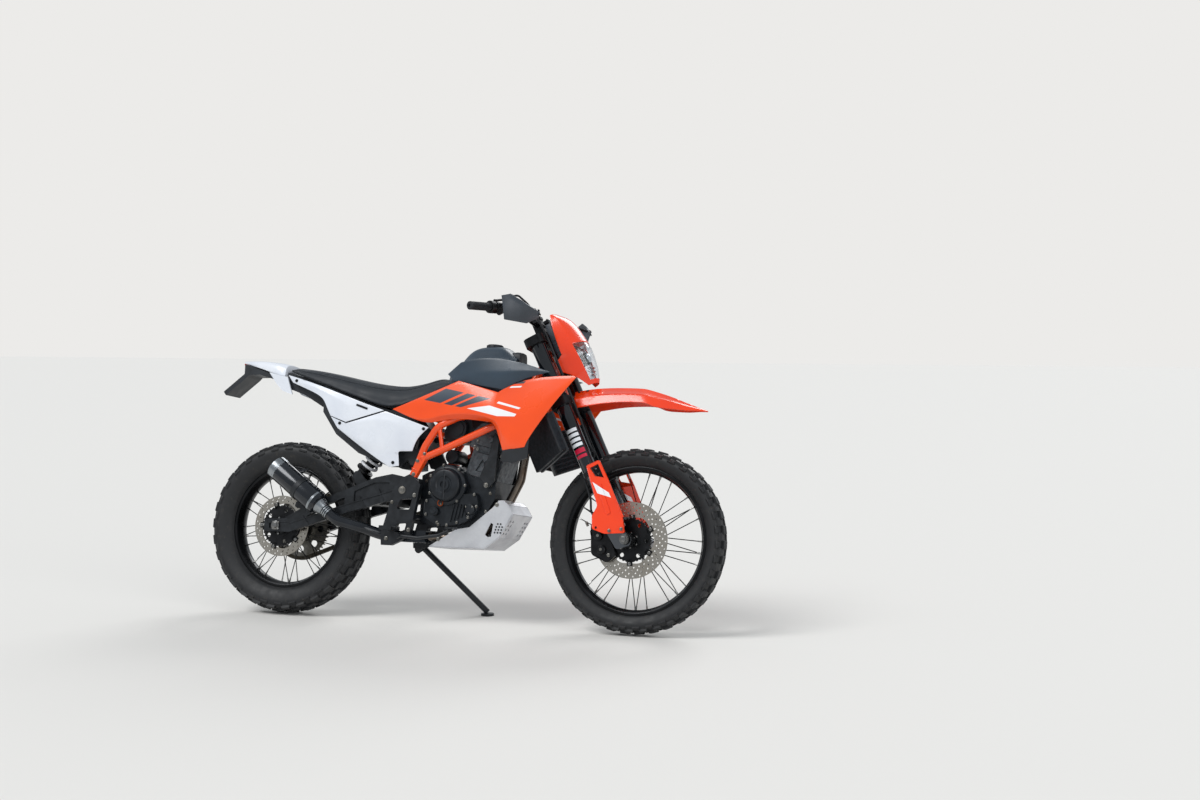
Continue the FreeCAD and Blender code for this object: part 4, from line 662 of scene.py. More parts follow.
for step in range(6):
    join(bm, block(4, 6, 70 - 6 * step, 1.2), at(762 + 15 * step, -115.5, 420 + 3 * step)
         @ turn(12))
join(bm, turned([(0, -124), (16, -124), (20, -121), (22, -114), (0, -114)], 40), at(836, 0, 436))
for x, z in ((650, 410), (650, 462), (706, 373), (784, 383), (830, 404), (862, 446),
             (850, 492), (700, 380), (742, 372)):
    screw(bm, at(x, 0, z), -27, 14)
for x, z in ring_of(3, 15, 30):
    join(bm, bolt(3, 3), at(836 + x, -122, 436 + z) @ RIGHT, 1)
join(bm, collar(0, 9, -121, -114, 28), at(712, 0, 455))
join(bm, collar(9, 12.5, -121.5, -114, 28), at(712, 0, 455), 2)
# the left cover over the generator
join(bm, turned([(0, 133), (34, 133), (42, 131), (46, 126), (48, 121), (58, 119), (64, 117),
                 (66, 113), (66, CASE_SIDE), (0, CASE_SIDE)], 64), GENERATOR)
join(bm, collar(14, 20, 131, 134.5), GENERATOR)
for x, z in ring_of(4, 65):
    screw(bm, GENERATOR @ at(x, 0, z), 31)
keep(bm, "engine_side_covers", "chassis", [engine_black, zinc, copper],
     "engine_covers", 28)

# Zinc bolts hold the cases together, and steel hangers, painted black, bolt the
# engine's front to the frame on both sides.
bm = bmesh.new()
bolts(bm, 4.5, 4, 88, [(905, 500), (890, 430), (905, 532), (632, 540), (700, 575), (780, 575)])
bolts(bm, 7, 6, 104, [(892, 530)])
keep(bm, "case_bolts", "chassis", [zinc])
bm = bmesh.new()
pair(bm, plate([(862, 560), (900, 516), (925, 545), (935, 700), (915, 735), (895, 640)], 6,
               corner=6, edge=1), at(0, 98, 0))
keep(bm, "engine_hangers", "chassis", [black_cast])

# The starter motor lies across the gearbox behind the cylinder, with a coolant hose
# above it.
bm = bmesh.new()
join(bm, round_bar(27, 96, 40, 3), at(712, 48, 640) @ RIGHT)
join(bm, round_bar(14, 20, 30, 2), at(712, 66, 640) @ RIGHT)
join(bm, swept([(900, 62, 600), (868, 88, 648), (800, 92, 668), (742, 84, 640), (706, 78, 600)],
               15, 20, 40), finish=1)
keep(bm, "starter_and_hose", "chassis", [engine_black, black_hose], sharp=40)

# The cylinder is sand cast and left bare, with a coarse skin and machined joint
# faces; the head's cover above it is smoother and painted black.
bare_cast = surface("bare_sand_casting", "5E6266", "494C50", 0.5, metallic=0.75, mottle=14,
                    grain=1.6, relief=0.7)
dress(bare_cast, "cylinder_head")
bm = bmesh.new()
pair(bm, plate([(800, 572), (915, 545), (940, 634), (826, 662)], 5, corner=14, edge=2,
               holes=[[(832, 588), (884, 576), (858, 628)]]), at(0, 72, 0))
pair(bm, plate([(822, 690), (948, 658), (962, 724), (925, 752), (856, 756), (832, 734)], 6,
               corner=12, edge=2), at(0, 81, 0))
bolts(bm, 5, 4, 82, [(836, 670), (936, 644), (824, 678), (944, 652)], 1)
bolts(bm, 4, 4, 86.5, [(838, 700), (942, 672), (868, 744), (930, 738)], 1)
pair(bm, round_bar(13, 8, 24, 1.5), at(893, 86, 708) @ LEFT)
keep(bm, "cylinder_webs", "chassis", [bare_cast, zinc])
bm = bmesh.new()
join(bm, plate([(843, 742), (968, 712), (978, 738), (932, 768), (850, 773)], 150, corner=8,
               edge=4), at(0, -75, 0))
pair(bm, block(60, 5, 18, 2), at(905, 77, 746) @ turn(14))
join(bm, turned([(0, 0), (17, 0), (17, 26), (14, 30), (0, 30)], 30), at(890, -96, 610))
keep(bm, "head_cover", "chassis", [engine_black])

# The header pipe is bent stainless tube, straw coloured by heat near the port and
# browner lower down; the silencer's sleeve is black coated with bare steel ends.
header_steel = surface("heat_tinted_steel", "7A726A", "55473C", 0.26, metallic=1.0, mottle=70,
                       relief=0.08)
sleeve_black = surface("black_ceramic_sleeve", "14181E", "1B2027", 0.2, metallic=0.4, mottle=80,
                       grain=0.9, relief=0.06, coat=0.4)
brushed_steel = surface("brushed_steel", "9DA2A6", "83878A", 0.27, metallic=1.0, mottle=50,
                        grain=0.8, relief=0.15, stretch=(1, 14, 14))
dress(header_steel, "exhaust_header")
dress(sleeve_black, "exhaust_box")
tail_end, nose_end = Vector((12, -176, 572)), Vector((222, -176, 424))
length = (nose_end - tail_end).length
lying = between(tail_end, nose_end) @ RIGHT
bm = bmesh.new()
join(bm, turned([(0, 30), (46.4, 30), (47, 32), (47, length - 20), (45, length - 8),
                 (34, length - 3), (0, length - 3)], 72), lying)
keep(bm, "silencer_sleeve", "chassis", [sleeve_black], "silencer")
bm = bmesh.new()
join(bm, turned([(33, 0.5), (44, 0.5), (46.6, 3), (47, 8), (47, 35), (45, 36), (43, 33),
                 (43, 9), (34, 7), (31, 12), (30, 34), (28, 34), (28.6, 11)], 72), lying)
join(bm, turned([(20, 16), (24, 12), (24, 34), (20, 34)], 40), lying)
join(bm, turned([(46.8, length - 32), (48.6, length - 31), (48.6, length - 23),
                 (46.8, length - 22)], 72), lying)
join(bm, turned([(20, length - 4), (34, length - 4), (32, length + 6), (27, length + 20),
                 (25, length + 26), (20, length + 26)], 48), lying)
for step in range(3):
    join(bm, collar(21, 25.5, length + 30 + 9 * step, length + 35 + 9 * step), lying)
for x, z in ring_of(8, 45.6, 10):
    join(bm, round_bar(2.6, 2.4, 10, 0.6), lying @ between((x, 24, z), (2 * x, 24, 2 * z)))
keep(bm, "silencer_caps", "chassis", [brushed_steel], "silencer_ends")
bm = bmesh.new()
middle = length * 0.52
join(bm, turned([(47.4, middle), (49.4, middle + 1), (49.4, middle + 21), (47.4, middle + 22)],
                72), lying)
join(bm, block(30, 44, 6, 1.5), at(118, -148, 560) @ turn(20, "X"))
keep(bm, "silencer_band", "chassis", [black_cast])

# The skid plate is folded from four millimetre aluminium sheet, left raw, with a
# slot in its sides and drain holes through its nose; thin dark discs on its sides are painted shade
# for round dimples.
raw_sheet = surface("raw_aluminium_sheet", "DADBDE", "C4C5C9", 0.42, metallic=0.75, grain=0.9,
                    relief=0.22, stretch=(2, 20, 20))
SKID = [(664, 290), (774, 358), (829, 368), (920, 445), (943, 470), (962, 472), (981, 458),
        (1003, 424), (955, 337), (896, 293)]
side_slot = [(896, 342), (908, 334), (922, 336), (928, 384), (918, 388)]
nose_holes = [(side * y, reach, 5) for side in (-1, 1) for y in (55, 79)
              for reach in (16, 34, 52, 70)]
SKID_HALF = 93
bm = bmesh.new()
pair(bm, plate(SKID, 4, edge=0.6, holes=[side_slot]), at(0, SKID_HALF - 2, 0))
# thin discs of dark hose rubber on each side: painted shade standing in for round dimples
for level in range(4):
    for x in ((936, 948, 960) if level < 3 else (938, 950)):
        pair(bm, round_bar(3.6, 0.5, 14), at(x + 3 * level, SKID_HALF + 2, 352 + 11 * level)
             @ LEFT, 2)
under_run = [SKID[0]] + SKID[:3:-1]
for (x0, z0), (x1, z1) in zip(under_run, under_run[1:]):
    run = Vector((x1 - x0, 0, z1 - z0))
    wide = run.length + 1
    sheet = plate([(-SKID_HALF, -1), (SKID_HALF, -1), (SKID_HALF, wide), (-SKID_HALF, wide)], 4,
                  edge=0.5, holes=nose_holes if (x0, z0) == (955, 337) else ())
    # the sheet stands on its run: its X goes across, its Z along, its Y inwards
    aside = Vector((0, 1, 0))
    stand = Matrix((aside, aside.cross(run.normalized()), run.normalized()))
    join(bm, sheet, at(x0, 0, z0) @ stand.transposed().to_4x4())
bolts(bm, 6, 4, SKID_HALF + 2, [(700, 318), (938, 458)], 1)
bmesh.ops.recalc_face_normals(bm, faces=bm.faces)
keep(bm, "skid_plate_sheet", "chassis", [raw_sheet, zinc, black_hose],
     "skid_plate")

# The airbox and inner mudguard are moulded black polypropylene with a fine
# leather-like grain; the tank under its covers is the same plastic.
black_plastic = surface("grained_polypropylene", "171B20", "20252B", 0.5, mottle=45, grain=0.9,
                        relief=0.3)
dress(black_plastic, "airbox", "plate_holder", "shroud_scoops", "radiators", "controls",
      "throttle_body")
dress(black_cast, "brake_pedal", "gear_lever", "footpegs")

# The shrouds are injection-moulded in solid orange plastic and printed with
# plain blocks and stripes. The tank's side covers are dark blue-grey plastic.


def smoothed(bm, levels=3, wall=0.0, edge=0.0):
    """The piece rounded by subdivision, grown a wall inwards and its edges broken."""
    mesh = bpy.data.meshes.new("form")
    bm.to_mesh(mesh)
    bm.free()
    form = link("form", mesh)
    if levels:
        rounding = form.modifiers.new("rounding", "SUBSURF")
        rounding.levels = rounding.render_levels = levels
    if wall:
        shell = form.modifiers.new("wall", "SOLIDIFY")
        shell.thickness = wall
        shell.offset = -1
        shell.use_even_offset = True
    if edge:
        broken = form.modifiers.new("edge", "BEVEL")
        broken.width = edge
        broken.segments = 2
        broken.angle_limit = radians(50)
    made = bmesh.new()
    made.from_object(form, bpy.context.evaluated_depsgraph_get())
    bpy.data.objects.remove(form)
    bpy.data.meshes.remove(mesh)
    return made


def skin(corners, faces, crisp=(), levels=3, wall=3.0, sharp=""):
    """A moulded skin through named corners, rounded between them. Its outline stays
    as it is given, and the lines in crisp and the corners in sharp stay creased."""
    bm = bmesh.new()
    crease = bm.edges.layers.float.new("crease_edge")
    point = bm.verts.layers.float.new("crease_vert")
    verts = {name: bm.verts.new(place) for name, place in corners.items()}
    for face in faces:
        bm.faces.new([verts[name] for name in face])
    bmesh.ops.recalc_face_normals(bm, faces=bm.faces)
    middle = sum((v.co for v in bm.verts), Vector()) / len(bm.verts)
    if sum((f.calc_center_median() - Vector((middle.x, 0, middle.z))).dot(f.normal)
           for f in bm.faces) < 0:
        bmesh.ops.reverse_faces(bm, faces=bm.faces)
    for line in bm.edges:
        line[crease] = 1.0 if line.is_boundary else 0.0
    for names in crisp:
        for one, other in zip(names, names[1:]):
            bm.edges.get((verts[one], verts[other]))[crease] = 0.85
    for name in sharp:
        verts[name][point] = 1.0
    return smoothed(bm, levels, wall, 0.8)


def shape(tree, corners):
    """A mask that is 1 inside an outline of side-view corners, in millimetres, that
    runs clockwise and bulges outwards everywhere."""
    spot = add(tree, "UVMap", uv_map="side").outputs[0]
    inside = None
    for (x0, z0), (x1, z1) in zip(corners, corners[1:] + corners[:1]):
        run = Vector((z1 - z0, x0 - x1)).normalized()
        along = add(tree, "VectorMath", {0: spot, 1: (run.x, run.y, 0)},
                    operation="DOT_PRODUCT").outputs["Value"]
        limit = (x0 * run.x + z0 * run.y) / 1000
        side = add(tree, "MapRange", {"Value": along, "From Min": limit - 0.0003,
                                      "From Max": limit + 0.0003})
        inside = side.outputs[0] if inside is None else add(
            tree, "Math", {0: inside, 1: side.outputs[0]}, operation="MINIMUM").outputs[0]
    return inside


def print_on(made, code, outlines):
    """Prints outlines in one colour over the material's own."""
    for corners in outlines:
        cover(made, shape(made.node_tree, corners), code)


orange_plastic = surface("orange_moulded_plastic", "F8500A", "F04A08", 0.3, mottle=150, grain=0.7,
                         relief=0.08, spread=0.05, coat=0.25)
printed_orange = orange_plastic.copy()
printed_orange.name = "printed_orange_plastic"
print_on(printed_orange, "37424F", [[(629, 848), (721, 893), (929, 853), (799, 819)]])
print_on(printed_orange, "F8500A", [
    [(700, 834), (812, 880), (828, 877), (716, 831)],
    [(752, 824), (868, 870), (880, 867), (764, 821)]])
print_on(printed_orange, "F1F2F5", [
    [(828, 815), (928, 826), (1052, 793), (1045, 784), (967, 785)],
    [(958, 835), (966, 842), (1068, 817), (1060, 811)],
    [(1006, 894), (1014, 900), (1064, 901), (1056, 895)]])
print_on(printed_orange, "2B333D", [
    [(946, 893), (962, 905), (1000, 904), (986, 893)],
    [(1010, 908), (1020, 917), (1078, 919), (1068, 910)]])
blue_grey = surface("blue_grey_plastic", "34424F", "2C3945", 0.34, mottle=90, grain=0.8,
                    relief=0.14)
SHROUD = {
    "a": (490, 141, 811), "b": (605, 150, 855), "c": (772, 152, 924), "d": (952, 178, 879),
    "e": (962, 186, 884), "f": (1085, 212, 934), "g": (1272, 216, 941), "h": (1282, 217, 934),
    "j": (1204, 224, 842), "l": (1104, 222, 702), "m": (1091, 220, 670), "n": (998, 206, 655),
    "p": (957, 192, 745), "q": (936, 182, 764), "s": (750, 154, 784), "u": (656, 142, 751),
    "v": (572, 144, 779), "w": (760, 168, 850), "x": (945, 204, 822), "y": (1090, 232, 800),
    "N": (1012, 222, 676), "P": (974, 212, 754), "Q": (942, 203, 786), "S": (752, 170, 803),
    "U": (656, 156, 768)}
bm = bmesh.new()
pair(bm, skin(SHROUD, [
    "abwv", "bcw", "cdxw", "dex", "efyx", "fgy", "ghy", "hjy", "jly", "lmNy", "mnN", "npPN",
    "pqQP", "qsSQ", "suUS", "uvU", "yNPx", "xPQ", "xQSw", "wSU", "wUv"],
    crisp=["vUSQPN", "dxP"], sharp="acdghmnpqv"))
keep(bm, "side_shrouds", "chassis", [printed_orange], "shrouds", 40)

WING = {
    "a": (700, 104, 955), "b": (766, 130, 998), "c": (846, 142, 1016), "d": (944, 146, 1012),
    "e": (1040, 158, 994), "f": (1158, 168, 960), "g": (1030, 164, 930), "h": (962, 156, 892),
    "i": (850, 148, 908), "j": (738, 128, 927), "k": (852, 150, 962), "l": (958, 158, 956),
    "m": (1040, 168, 966)}
bm = bmesh.new()
pair(bm, skin(WING, ["abj", "bckj", "jki", "cdlk", "klhi", "deml", "lmgh", "efm", "fgm"],
              crisp=["jklmf"], sharp="abdefhj"))
keep(bm, "tank_side_covers", "chassis", [blue_grey], "tank_wings", 40)


def lofted(rings, levels=3, firm=0.0, edge=0.0, wall=0.0, closed=True, out=(0, 0, 1),
           opening=None, folds=(), sharp=()):
    """A form through matching rows of points, rounded between them. Closed rows make a
    solid; open ones a sheet that faces out, with a wall behind it and the faces in
    its opening left out. firm is how crisp the outline stays; folds are the places in
    a row whose lines stay creased, and sharp the rows whose ends stay pointed."""
    bm = bmesh.new()
    crease = bm.edges.layers.float.new("crease_edge")
    point = bm.verts.layers.float.new("crease_vert")
    loops, rows = [], []
    for ring in rings:
        verts = [bm.verts.new(place) for place in ring]
        rows.append(verts)
        after = verts[1:] + verts[:1] if closed else verts[1:]
        loops.append([bm.edges.new(ends) for ends in zip(verts, after)])
    for one, other in zip(loops, loops[1:]):
        bmesh.ops.bridge_loops(bm, edges=one + other)
    if closed:
        for loop in (loops[0], loops[-1]):
            bmesh.ops.contextual_create(bm, geom=loop)
    bmesh.ops.recalc_face_normals(bm, faces=bm.faces)
    if not closed:
        if opening:
            bmesh.ops.delete(bm, context="FACES", geom=[
                face for face in bm.faces if opening(face.calc_center_median())])
        if sum(face.normal.dot(Vector(out)) for face in bm.faces) < 0:
            bmesh.ops.reverse_faces(bm, faces=bm.faces)
    rims = loops[0] + loops[-1] if closed else [e for e in bm.edges if e.is_boundary]
    for line in rims:
        line[crease] = firm
    for one, other in zip(rows, rows[1:]):
        for fold in folds:
            line = bm.edges.get((one[fold], other[fold]))
            if line:
                line[crease] = 0.75
    for row in sharp:
        for vert in (rows[row][0], rows[row][-1]):
            vert[point] = 1.0
    return smoothed(bm, levels, wall, edge)


def whole(x, half):
    """A ring at x from its half outline of (y, z) points, top centre to bottom centre."""
    return [(x, y, z) for y, z in half + [(-y, z) for y, z in reversed(half) if y]]


def both_sides(half):
    """A row from its left half of (x, y, z) places, centre first, and its mirror image."""
    return [(x, -y, z) for x, y, z in reversed(half) if y] + half


# The tank is rotationally moulded and tapers to the seat; only its crown shows,
# with the filler cap ribbed for grip.
TANK = [
    (704, [(0, 964), (40, 962), (52, 959), (92, 950), (104, 928), (94, 850), (0, 850)]),
    (732, [(0, 1016), (46, 1012), (62, 992), (92, 976), (102, 930), (94, 850), (0, 850)]),
    (772, [(0, 1070), (50, 1065), (72, 1014), (106, 998), (118, 932), (104, 850), (0, 850)]),
    (840, [(0, 1077), (54, 1072), (78, 1024), (118, 1012), (130, 915), (112, 850), (0, 850)]),
    (906, [(0, 1077), (52, 1072), (76, 1026), (116, 1010), (132, 905), (112, 850), (0, 850)]),
    (928, [(0, 1054), (46, 1049), (68, 1022), (108, 1002), (124, 900), (106, 850), (0, 850)]),
    (966, [(0, 1030), (42, 1026), (60, 1012), (96, 985), (112, 895), (96, 850), (0, 850)])]
bm = lofted([whole(x, half) for x, half in TANK], 3, 0.6)
keep(bm, "tank_shell", "chassis", [blue_grey], "fuel_tank", 50)
CAP_X = 846
bm = bmesh.new()
join(bm, turned([(0, 15.6), (20, 15.6), (27, 14.6), (31, 12), (32, 8), (32, 0), (0, 0)], 60),
     at(CAP_X, 0, 1069) @ RIGHT)
join(bm, block(52, 9, 5, 1.5), at(CAP_X, 0, 1083) @ turn(20, "Z"))
for x, y in ring_of(10, 31):
    join(bm, block(5, 4, 12, 1.2), at(CAP_X + x, y, 1075) @ turn(degrees(atan2(y, x)), "Z"))
keep(bm, "filler_cap_ribbed", "chassis", [black_plastic], "filler_cap")

# A moulded black duct closes the gap between the tank's front and the steering
# head; it is clipped to the tank and stops short of the turning yokes.
bm = lofted([whole(x, [(0, high), (26, high - 1), (37, high - 10), (39, 992), (30, 984), (0, 984)])
             for x, high in ((912, 1046), (930, 1052), (956, 1056), (970, 1052))], 2, 0.7)
keep(bm, "tank_front_duct", "chassis", [black_plastic], sharp=40)

# The seat is foam on a plastic pan under a vinyl cover with a fine dry grain,
# grippier on top; the cover is pulled down and stapled under the pan's lip.
vinyl = surface("grained_seat_vinyl", "161C23", "1D242C", 0.62, mottle=90, grain=1.1, relief=0.55,
                spread=0.1)
tree = vinyl.node_tree
shader = tree.nodes["Principled BSDF"]
shader.inputs["Sheen Weight"].default_value = 0.12
shader.inputs["Sheen Roughness"].default_value = 0.4
cell = add(tree, "TexVoronoi", {"Vector": add(tree, "TexCoord").outputs["Object"],
                                "Scale": 550.0}, feature="SMOOTH_F1")
old = shader.inputs["Normal"].links[0].from_node
leather = add(tree, "Bump", {"Height": cell.outputs["Distance"], "Strength": 0.35,
                             "Distance": 0.0003, "Normal": old.outputs[0]})
tree.links.new(leather.outputs[0], shader.inputs["Normal"])
SEAT = [
    (-33, 70, 50, 62, 56), (20, 68, 66, 82, 38), (90, 60, 84, 104, 17), (160, 50, 94, 115, -4),
    (260, 31, 100, 124, -36), (360, 11, 94, 124, -70), (458, 0, 84, 122, -96),
    (520, 0, 74, 114, -81), (600, 20, 60, 102, -53), (650, 41, 52, 94, -26), (704, 27, 46, 79, 0)]
SEAT_LINE = 909


def puffed(bm):
    """The form as a stuffed cover: a cloth blown out from a fixed base, no point of it
    by more than the cap."""
    voxel, pressure, cap, frames = 0.006, 4.0, 0.006, 20
    scene = bpy.context.scene
    bmesh.ops.scale(bm, vec=(0.001, 0.001, 0.001), verts=bm.verts)
    mesh = bpy.data.meshes.new("cover")
    bm.to_mesh(mesh)
    bm.free()
    vinyl_skin = link("cover", mesh)
    net = vinyl_skin.modifiers.new("net", "REMESH")
    net.mode = "VOXEL"
    net.voxel_size = voxel
    even = bmesh.new()
    even.from_object(vinyl_skin, bpy.context.evaluated_depsgraph_get())
    vinyl_skin.modifiers.clear()
    even.to_mesh(mesh)
    even.free()
    base = vinyl_skin.vertex_groups.new(name="base")
    base.add([vert.index for vert in mesh.vertices if vert.normal.z < -0.6], 1.0, "REPLACE")
    start = [vert.co.copy() for vert in mesh.vertices]
    cloth = vinyl_skin.modifiers.new("cloth", "CLOTH")
    cloth.settings.use_pressure = True
    cloth.settings.uniform_pressure_force = pressure
    cloth.settings.vertex_group_mass = "base"
    cloth.settings.effector_weights.gravity = 0.0
    for count in range(1, frames + 1):
        scene.frame_set(count)
    blown = vinyl_skin.evaluated_get(bpy.context.evaluated_depsgraph_get()).to_mesh()
    steps = [vert.co - was for vert, was in zip(blown.vertices, start)]
    vinyl_skin.modifiers.clear()
    scene.frame_set(1)
    for vert, was, step in zip(mesh.vertices, start, steps):
        vert.co = was + step * min(1.0, cap / max(step.length, 1e-9))
    fine = vinyl_skin.modifiers.new("fine", "SUBSURF")
    fine.levels = fine.render_levels = 1
    made = bmesh.new()
    made.from_object(vinyl_skin, bpy.context.evaluated_depsgraph_get())
    bmesh.ops.scale(made, vec=(1000, 1000, 1000), verts=made.verts)
    bpy.data.objects.remove(vinyl_skin)
    bpy.data.meshes.remove(mesh)
    return made


rings = []
for x, top, crown, edge, bottom in SEAT:
    # the form starts a little small, and the cloth fills it out
    low, high = SEAT_LINE + bottom, SEAT_LINE + top - 3
    edge -= 3
    crown -= 2
    rings.append(whole(x, [
        (0, high), (crown * 0.55, high - 0.5), (crown, high - 7), (edge - 3, (high + low) / 2 + 2),
        (edge, low + 14), (edge - 2, low + 5), (edge - 12, low + 1), (0, low + 1)]))
bm = lofted(rings, 2, 0.4)
bm = puffed(bm)
# the seam between the top and each side is sewn into a shallow groove
GROOVE, GROOVE_DEPTH = 11, 1.6
bm.normal_update()
surface_of = BVHTree.FromBMesh(bm)
seams = []
for side in (-1, 1):
    drawn = [Vector((x, side * (crown + 1), SEAT_LINE + top - 6))
             for x, top, crown, edge, bottom in SEAT[1:]]
    seams.append([surface_of.find_nearest(one.lerp(other, share / 6))[0]
                  for one, other in zip(drawn, drawn[1:]) for share in range(6)])
sewn = KDTree(sum(len(seam) for seam in seams))
for place, spot in enumerate(spot for seam in seams for spot in seam):
    sewn.insert(spot, place)
sewn.balance()
for vert in bm.verts:
    away = sewn.find(vert.co)[2]
    if away < GROOVE:
        vert.co -= vert.normal * GROOVE_DEPTH * (1 - away / GROOVE) ** 2
seat_cover = keep(bm, "seat_cover", "chassis", [vinyl], "seat", 180)
# the piping along both seams
bm = bmesh.new()
for seam in seams:
    join(bm, along(seam, 1.3, 8))
keep(bm, "seat_seams", "chassis", [vinyl], sharp=60)

# The tail strips and the number panels are white moulded plastic with a soft
# gloss, held with small black screws; a dark groove parts them.
white_plastic = surface("white_moulded_plastic", "E3E7EE", "D7DCE5", 0.28, mottle=120, grain=0.8,
                        relief=0.06, spread=0.05, coat=0.15)
STRIP = {
    "a": (-22, 76, 947), "b": (66, 104, 926), "c": (168, 126, 897), "d": (274, 137, 862),
    "e": (365, 139, 832), "f": (452, 139, 806), "g": (288, 141, 757), "h": (217, 138, 781),
    "i": (192, 136, 823), "j": (174, 134, 858), "k": (69, 108, 894), "l": (7, 86, 916),
    "B": (64, 110, 914), "C": (170, 132, 882), "D": (262, 141, 838), "E": (340, 143, 806)}
bm = bmesh.new()
pair(bm, skin(STRIP, ["abBl", "bcCB", "cdDC", "deED", "efgE", "Egh", "EhiD", "DijC", "CjkB",
                      "Bkl"], crisp=["lBCDEg"], sharp="aefghl"))
keep(bm, "tail_side_strips", "chassis", [white_plastic], "tail_strips", 40)
PANEL = {
    "a": (220, 139, 777), "b": (290, 142, 751), "c": (461, 141, 802), "d": (568, 142, 769),
    "e": (651, 142, 742), "f": (600, 136, 701), "g": (584, 134, 650), "h": (523, 132, 648),
    "i": (528, 130, 592), "j": (486, 128, 586), "k": (382, 132, 645), "l": (252, 138, 733),
    "C": (452, 147, 776), "D": (560, 146, 744), "K": (388, 141, 668), "H": (510, 139, 668)}
bm = bmesh.new()
pair(bm, skin(PANEL, ["abl", "bcC", "bCKl", "cdDC", "defD", "fgHD", "ghH", "CDHK", "lKk",
                      "Hhij", "KHjk"], crisp=["bCD", "lKH"], sharp="abceghijl"))
keep(bm, "number_panels", "chassis", [white_plastic], "side_panels", 40)
bm = bmesh.new()
for x, y, z in ((502, 130.4, 604), (262, 139.6, 752), (630, 141, 737), (30, 96, 922)):
    pair(bm, round_bar(6.5, 2.6, 20, 0.8), at(x, y, z) @ LEFT)
    pair(bm, round_bar(3.4, 1.4, 6), at(x, y + 2, z) @ LEFT)
pair(bm, block(52, 3, 8, 1.5), at(356, 142, 818) @ turn(17))
pair(bm, block(18, 3, 6, 1.2), at(72, 107, 928) @ turn(14))
keep(bm, "panel_fasteners", "chassis", [black_machined])

# The rear mudguard is one white moulding with turned-down edges and a leg each
# side; the plate holder and its lamp bracket hang below.
TAIL = [
    (-262, [(0, 1008), (18, 1007.5), (25, 1004), (27, 1000), (20, 1001), (0, 1003)]),
    (-215, [(0, 1009), (30, 1008), (40, 1001), (43, 984), (36, 988), (0, 1000)]),
    (-170, [(0, 1010), (38, 1008), (51, 1000), (56, 974), (48, 978), (0, 994)]),
    (-76, [(0, 1002), (52, 999), (71, 990), (78, 944), (70, 950), (0, 982)]),
    (-38, [(0, 992), (50, 989), (67, 980), (79, 932), (72, 938), (0, 970)])]
bm = bmesh.new()
join(bm, lofted([whole(x, half) for x, half in TAIL], 2, 0.8))
LEG = [(-110, 958), (-37, 942), (-24, 940), (4, 868), (-44, 884), (-72, 912)]
pair(bm, plate(LEG, 6, corner=5, edge=1.5), at(0, 74, 0))
keep(bm, "rear_mudguard", "chassis", [white_plastic], "tail", 40)
red_lens = surface("red_acrylic_lens", "C81420", "9E0C16", 0.12, mottle=20, grain=2.0)
bm = bmesh.new()
join(bm, plate([(-262, 999), (-240.4, 992), (-240.4, 956), (-254, 962)], 48, corner=4, edge=2),
     at(0, -24, 0))
for step in range(5):
    join(bm, block(2, 44, 2.4, 0.6), at(-260 + step * 0.9, 0, 991 - step * 6))
keep(bm, "tail_lamp_lens", "chassis", [red_lens], "tail_light")

# The radiators are brazed aluminium cores behind moulded guards: slats lean back
# between the frames of the guards, and the core's fins show in the gaps.
core_fins = surface("brazed_radiator_core", "2B2E33", "1F2226", 0.45, metallic=0.8, mottle=12,
                    grain=1.2, relief=0.5, stretch=(1, 1, 12))
inner, outer = Vector((-158, 62, 742)), Vector((14, 192, 742))
run = (outer - inner).normalized()
back = Vector((-run.y, run.x, 0))
long = (outer - inner).length
stand = Matrix.Translation(inner) @ Matrix((run, back, (0, 0, 1))).transposed().to_4x4()
part = bmesh.new()
join(part, block(long, 24, 155, 2), at(long / 2, 20, 82), 1)
for step in range(9):
    join(part, block(long - 8, 11, 2.6, 0.6), at(long / 2, 4.5, 14 + 17 * step) @ turn(32, "X"))
for x in (4, long / 2, long - 4):
    join(part, block(7, 10, 162, 1.5), at(x, 5, 82))
for z in (3, 160):
    join(part, block(long, 12, 6, 1.5), at(long / 2, 6, z))
join(part, block(16, 33, 152, 5, 2), at(long - 10, 16.5, 81))
join(part, rod((12, 20, 160), (12, 20, 176), 9, 16, 1.0))
bm = bmesh.new()
pair(bm, part, stand)
pair(bm, rod((-166, 76, 850), (-121.3, 66, 987.7), 7, 14))
keep(bm, "radiator_guards", "chassis", [black_plastic, core_fins], "radiators",
     30, PLACES["steering"])

# The fork: hard-anodised sliders in black upper tubes, which forged yokes clamp
# with steel screws. The lower castings are bare alloy at the axle.
fork_coat = surface("black_anodised_tube", "0F1318", "171C22", 0.12, metallic=0.4, mottle=120,
                    relief=0.03, spread=0.03, coat=0.7)
slider_coat = surface("anodised_slider", "6E7073", "5A5C5F", 0.24, metallic=1.0, grain=0.8,
                      relief=0.06)
dress(fork_coat, "fork_tubes")
dress(slider_coat, "fork_lowers")
dress(black_machined, "yokes", "handlebar")
LEG_X, LEG_Y = 29, 106
leg = at(LEG_X, LEG_Y, 0) @ RIGHT
bm = bmesh.new()
pair(bm, turned([(8, 1213), (24, 1213), (27, 1216.5), (27, 1222), (22, 1224), (20, 1222),
                 (9, 1222), (8, 1224)], 40), leg)
pair(bm, turned([(21.6, 634), (29.2, 634), (30, 638), (30, 650), (28.6, 652), (21.6, 652)], 48),
     leg)
for level in (934, 946, 1196, 1208):
    pair(bm, bolt(4.5, 4), at(68, 92, level) @ turn(90), 1)
for level in (966, 1184):
    pair(bm, turned([(28.6, level - 3), (31, level - 2), (31, level + 2), (28.6, level + 3)],
                    48), leg)
pair(bm, block(46, 32, 16, 3), at(40, 42, 1298))
for x in (24, 56):
    for y in (36, 50):
        pair(bm, bolt(4, 4), at(x, y, 1305), 1)
join(bm, turned([(0, 0), (18, 0), (18, 6), (15, 9), (0, 9)], 6), at(0, 0, 1219) @ RIGHT, 1)
keep(bm, "fork_caps_and_clamps", "steering", [black_machined, zinc])

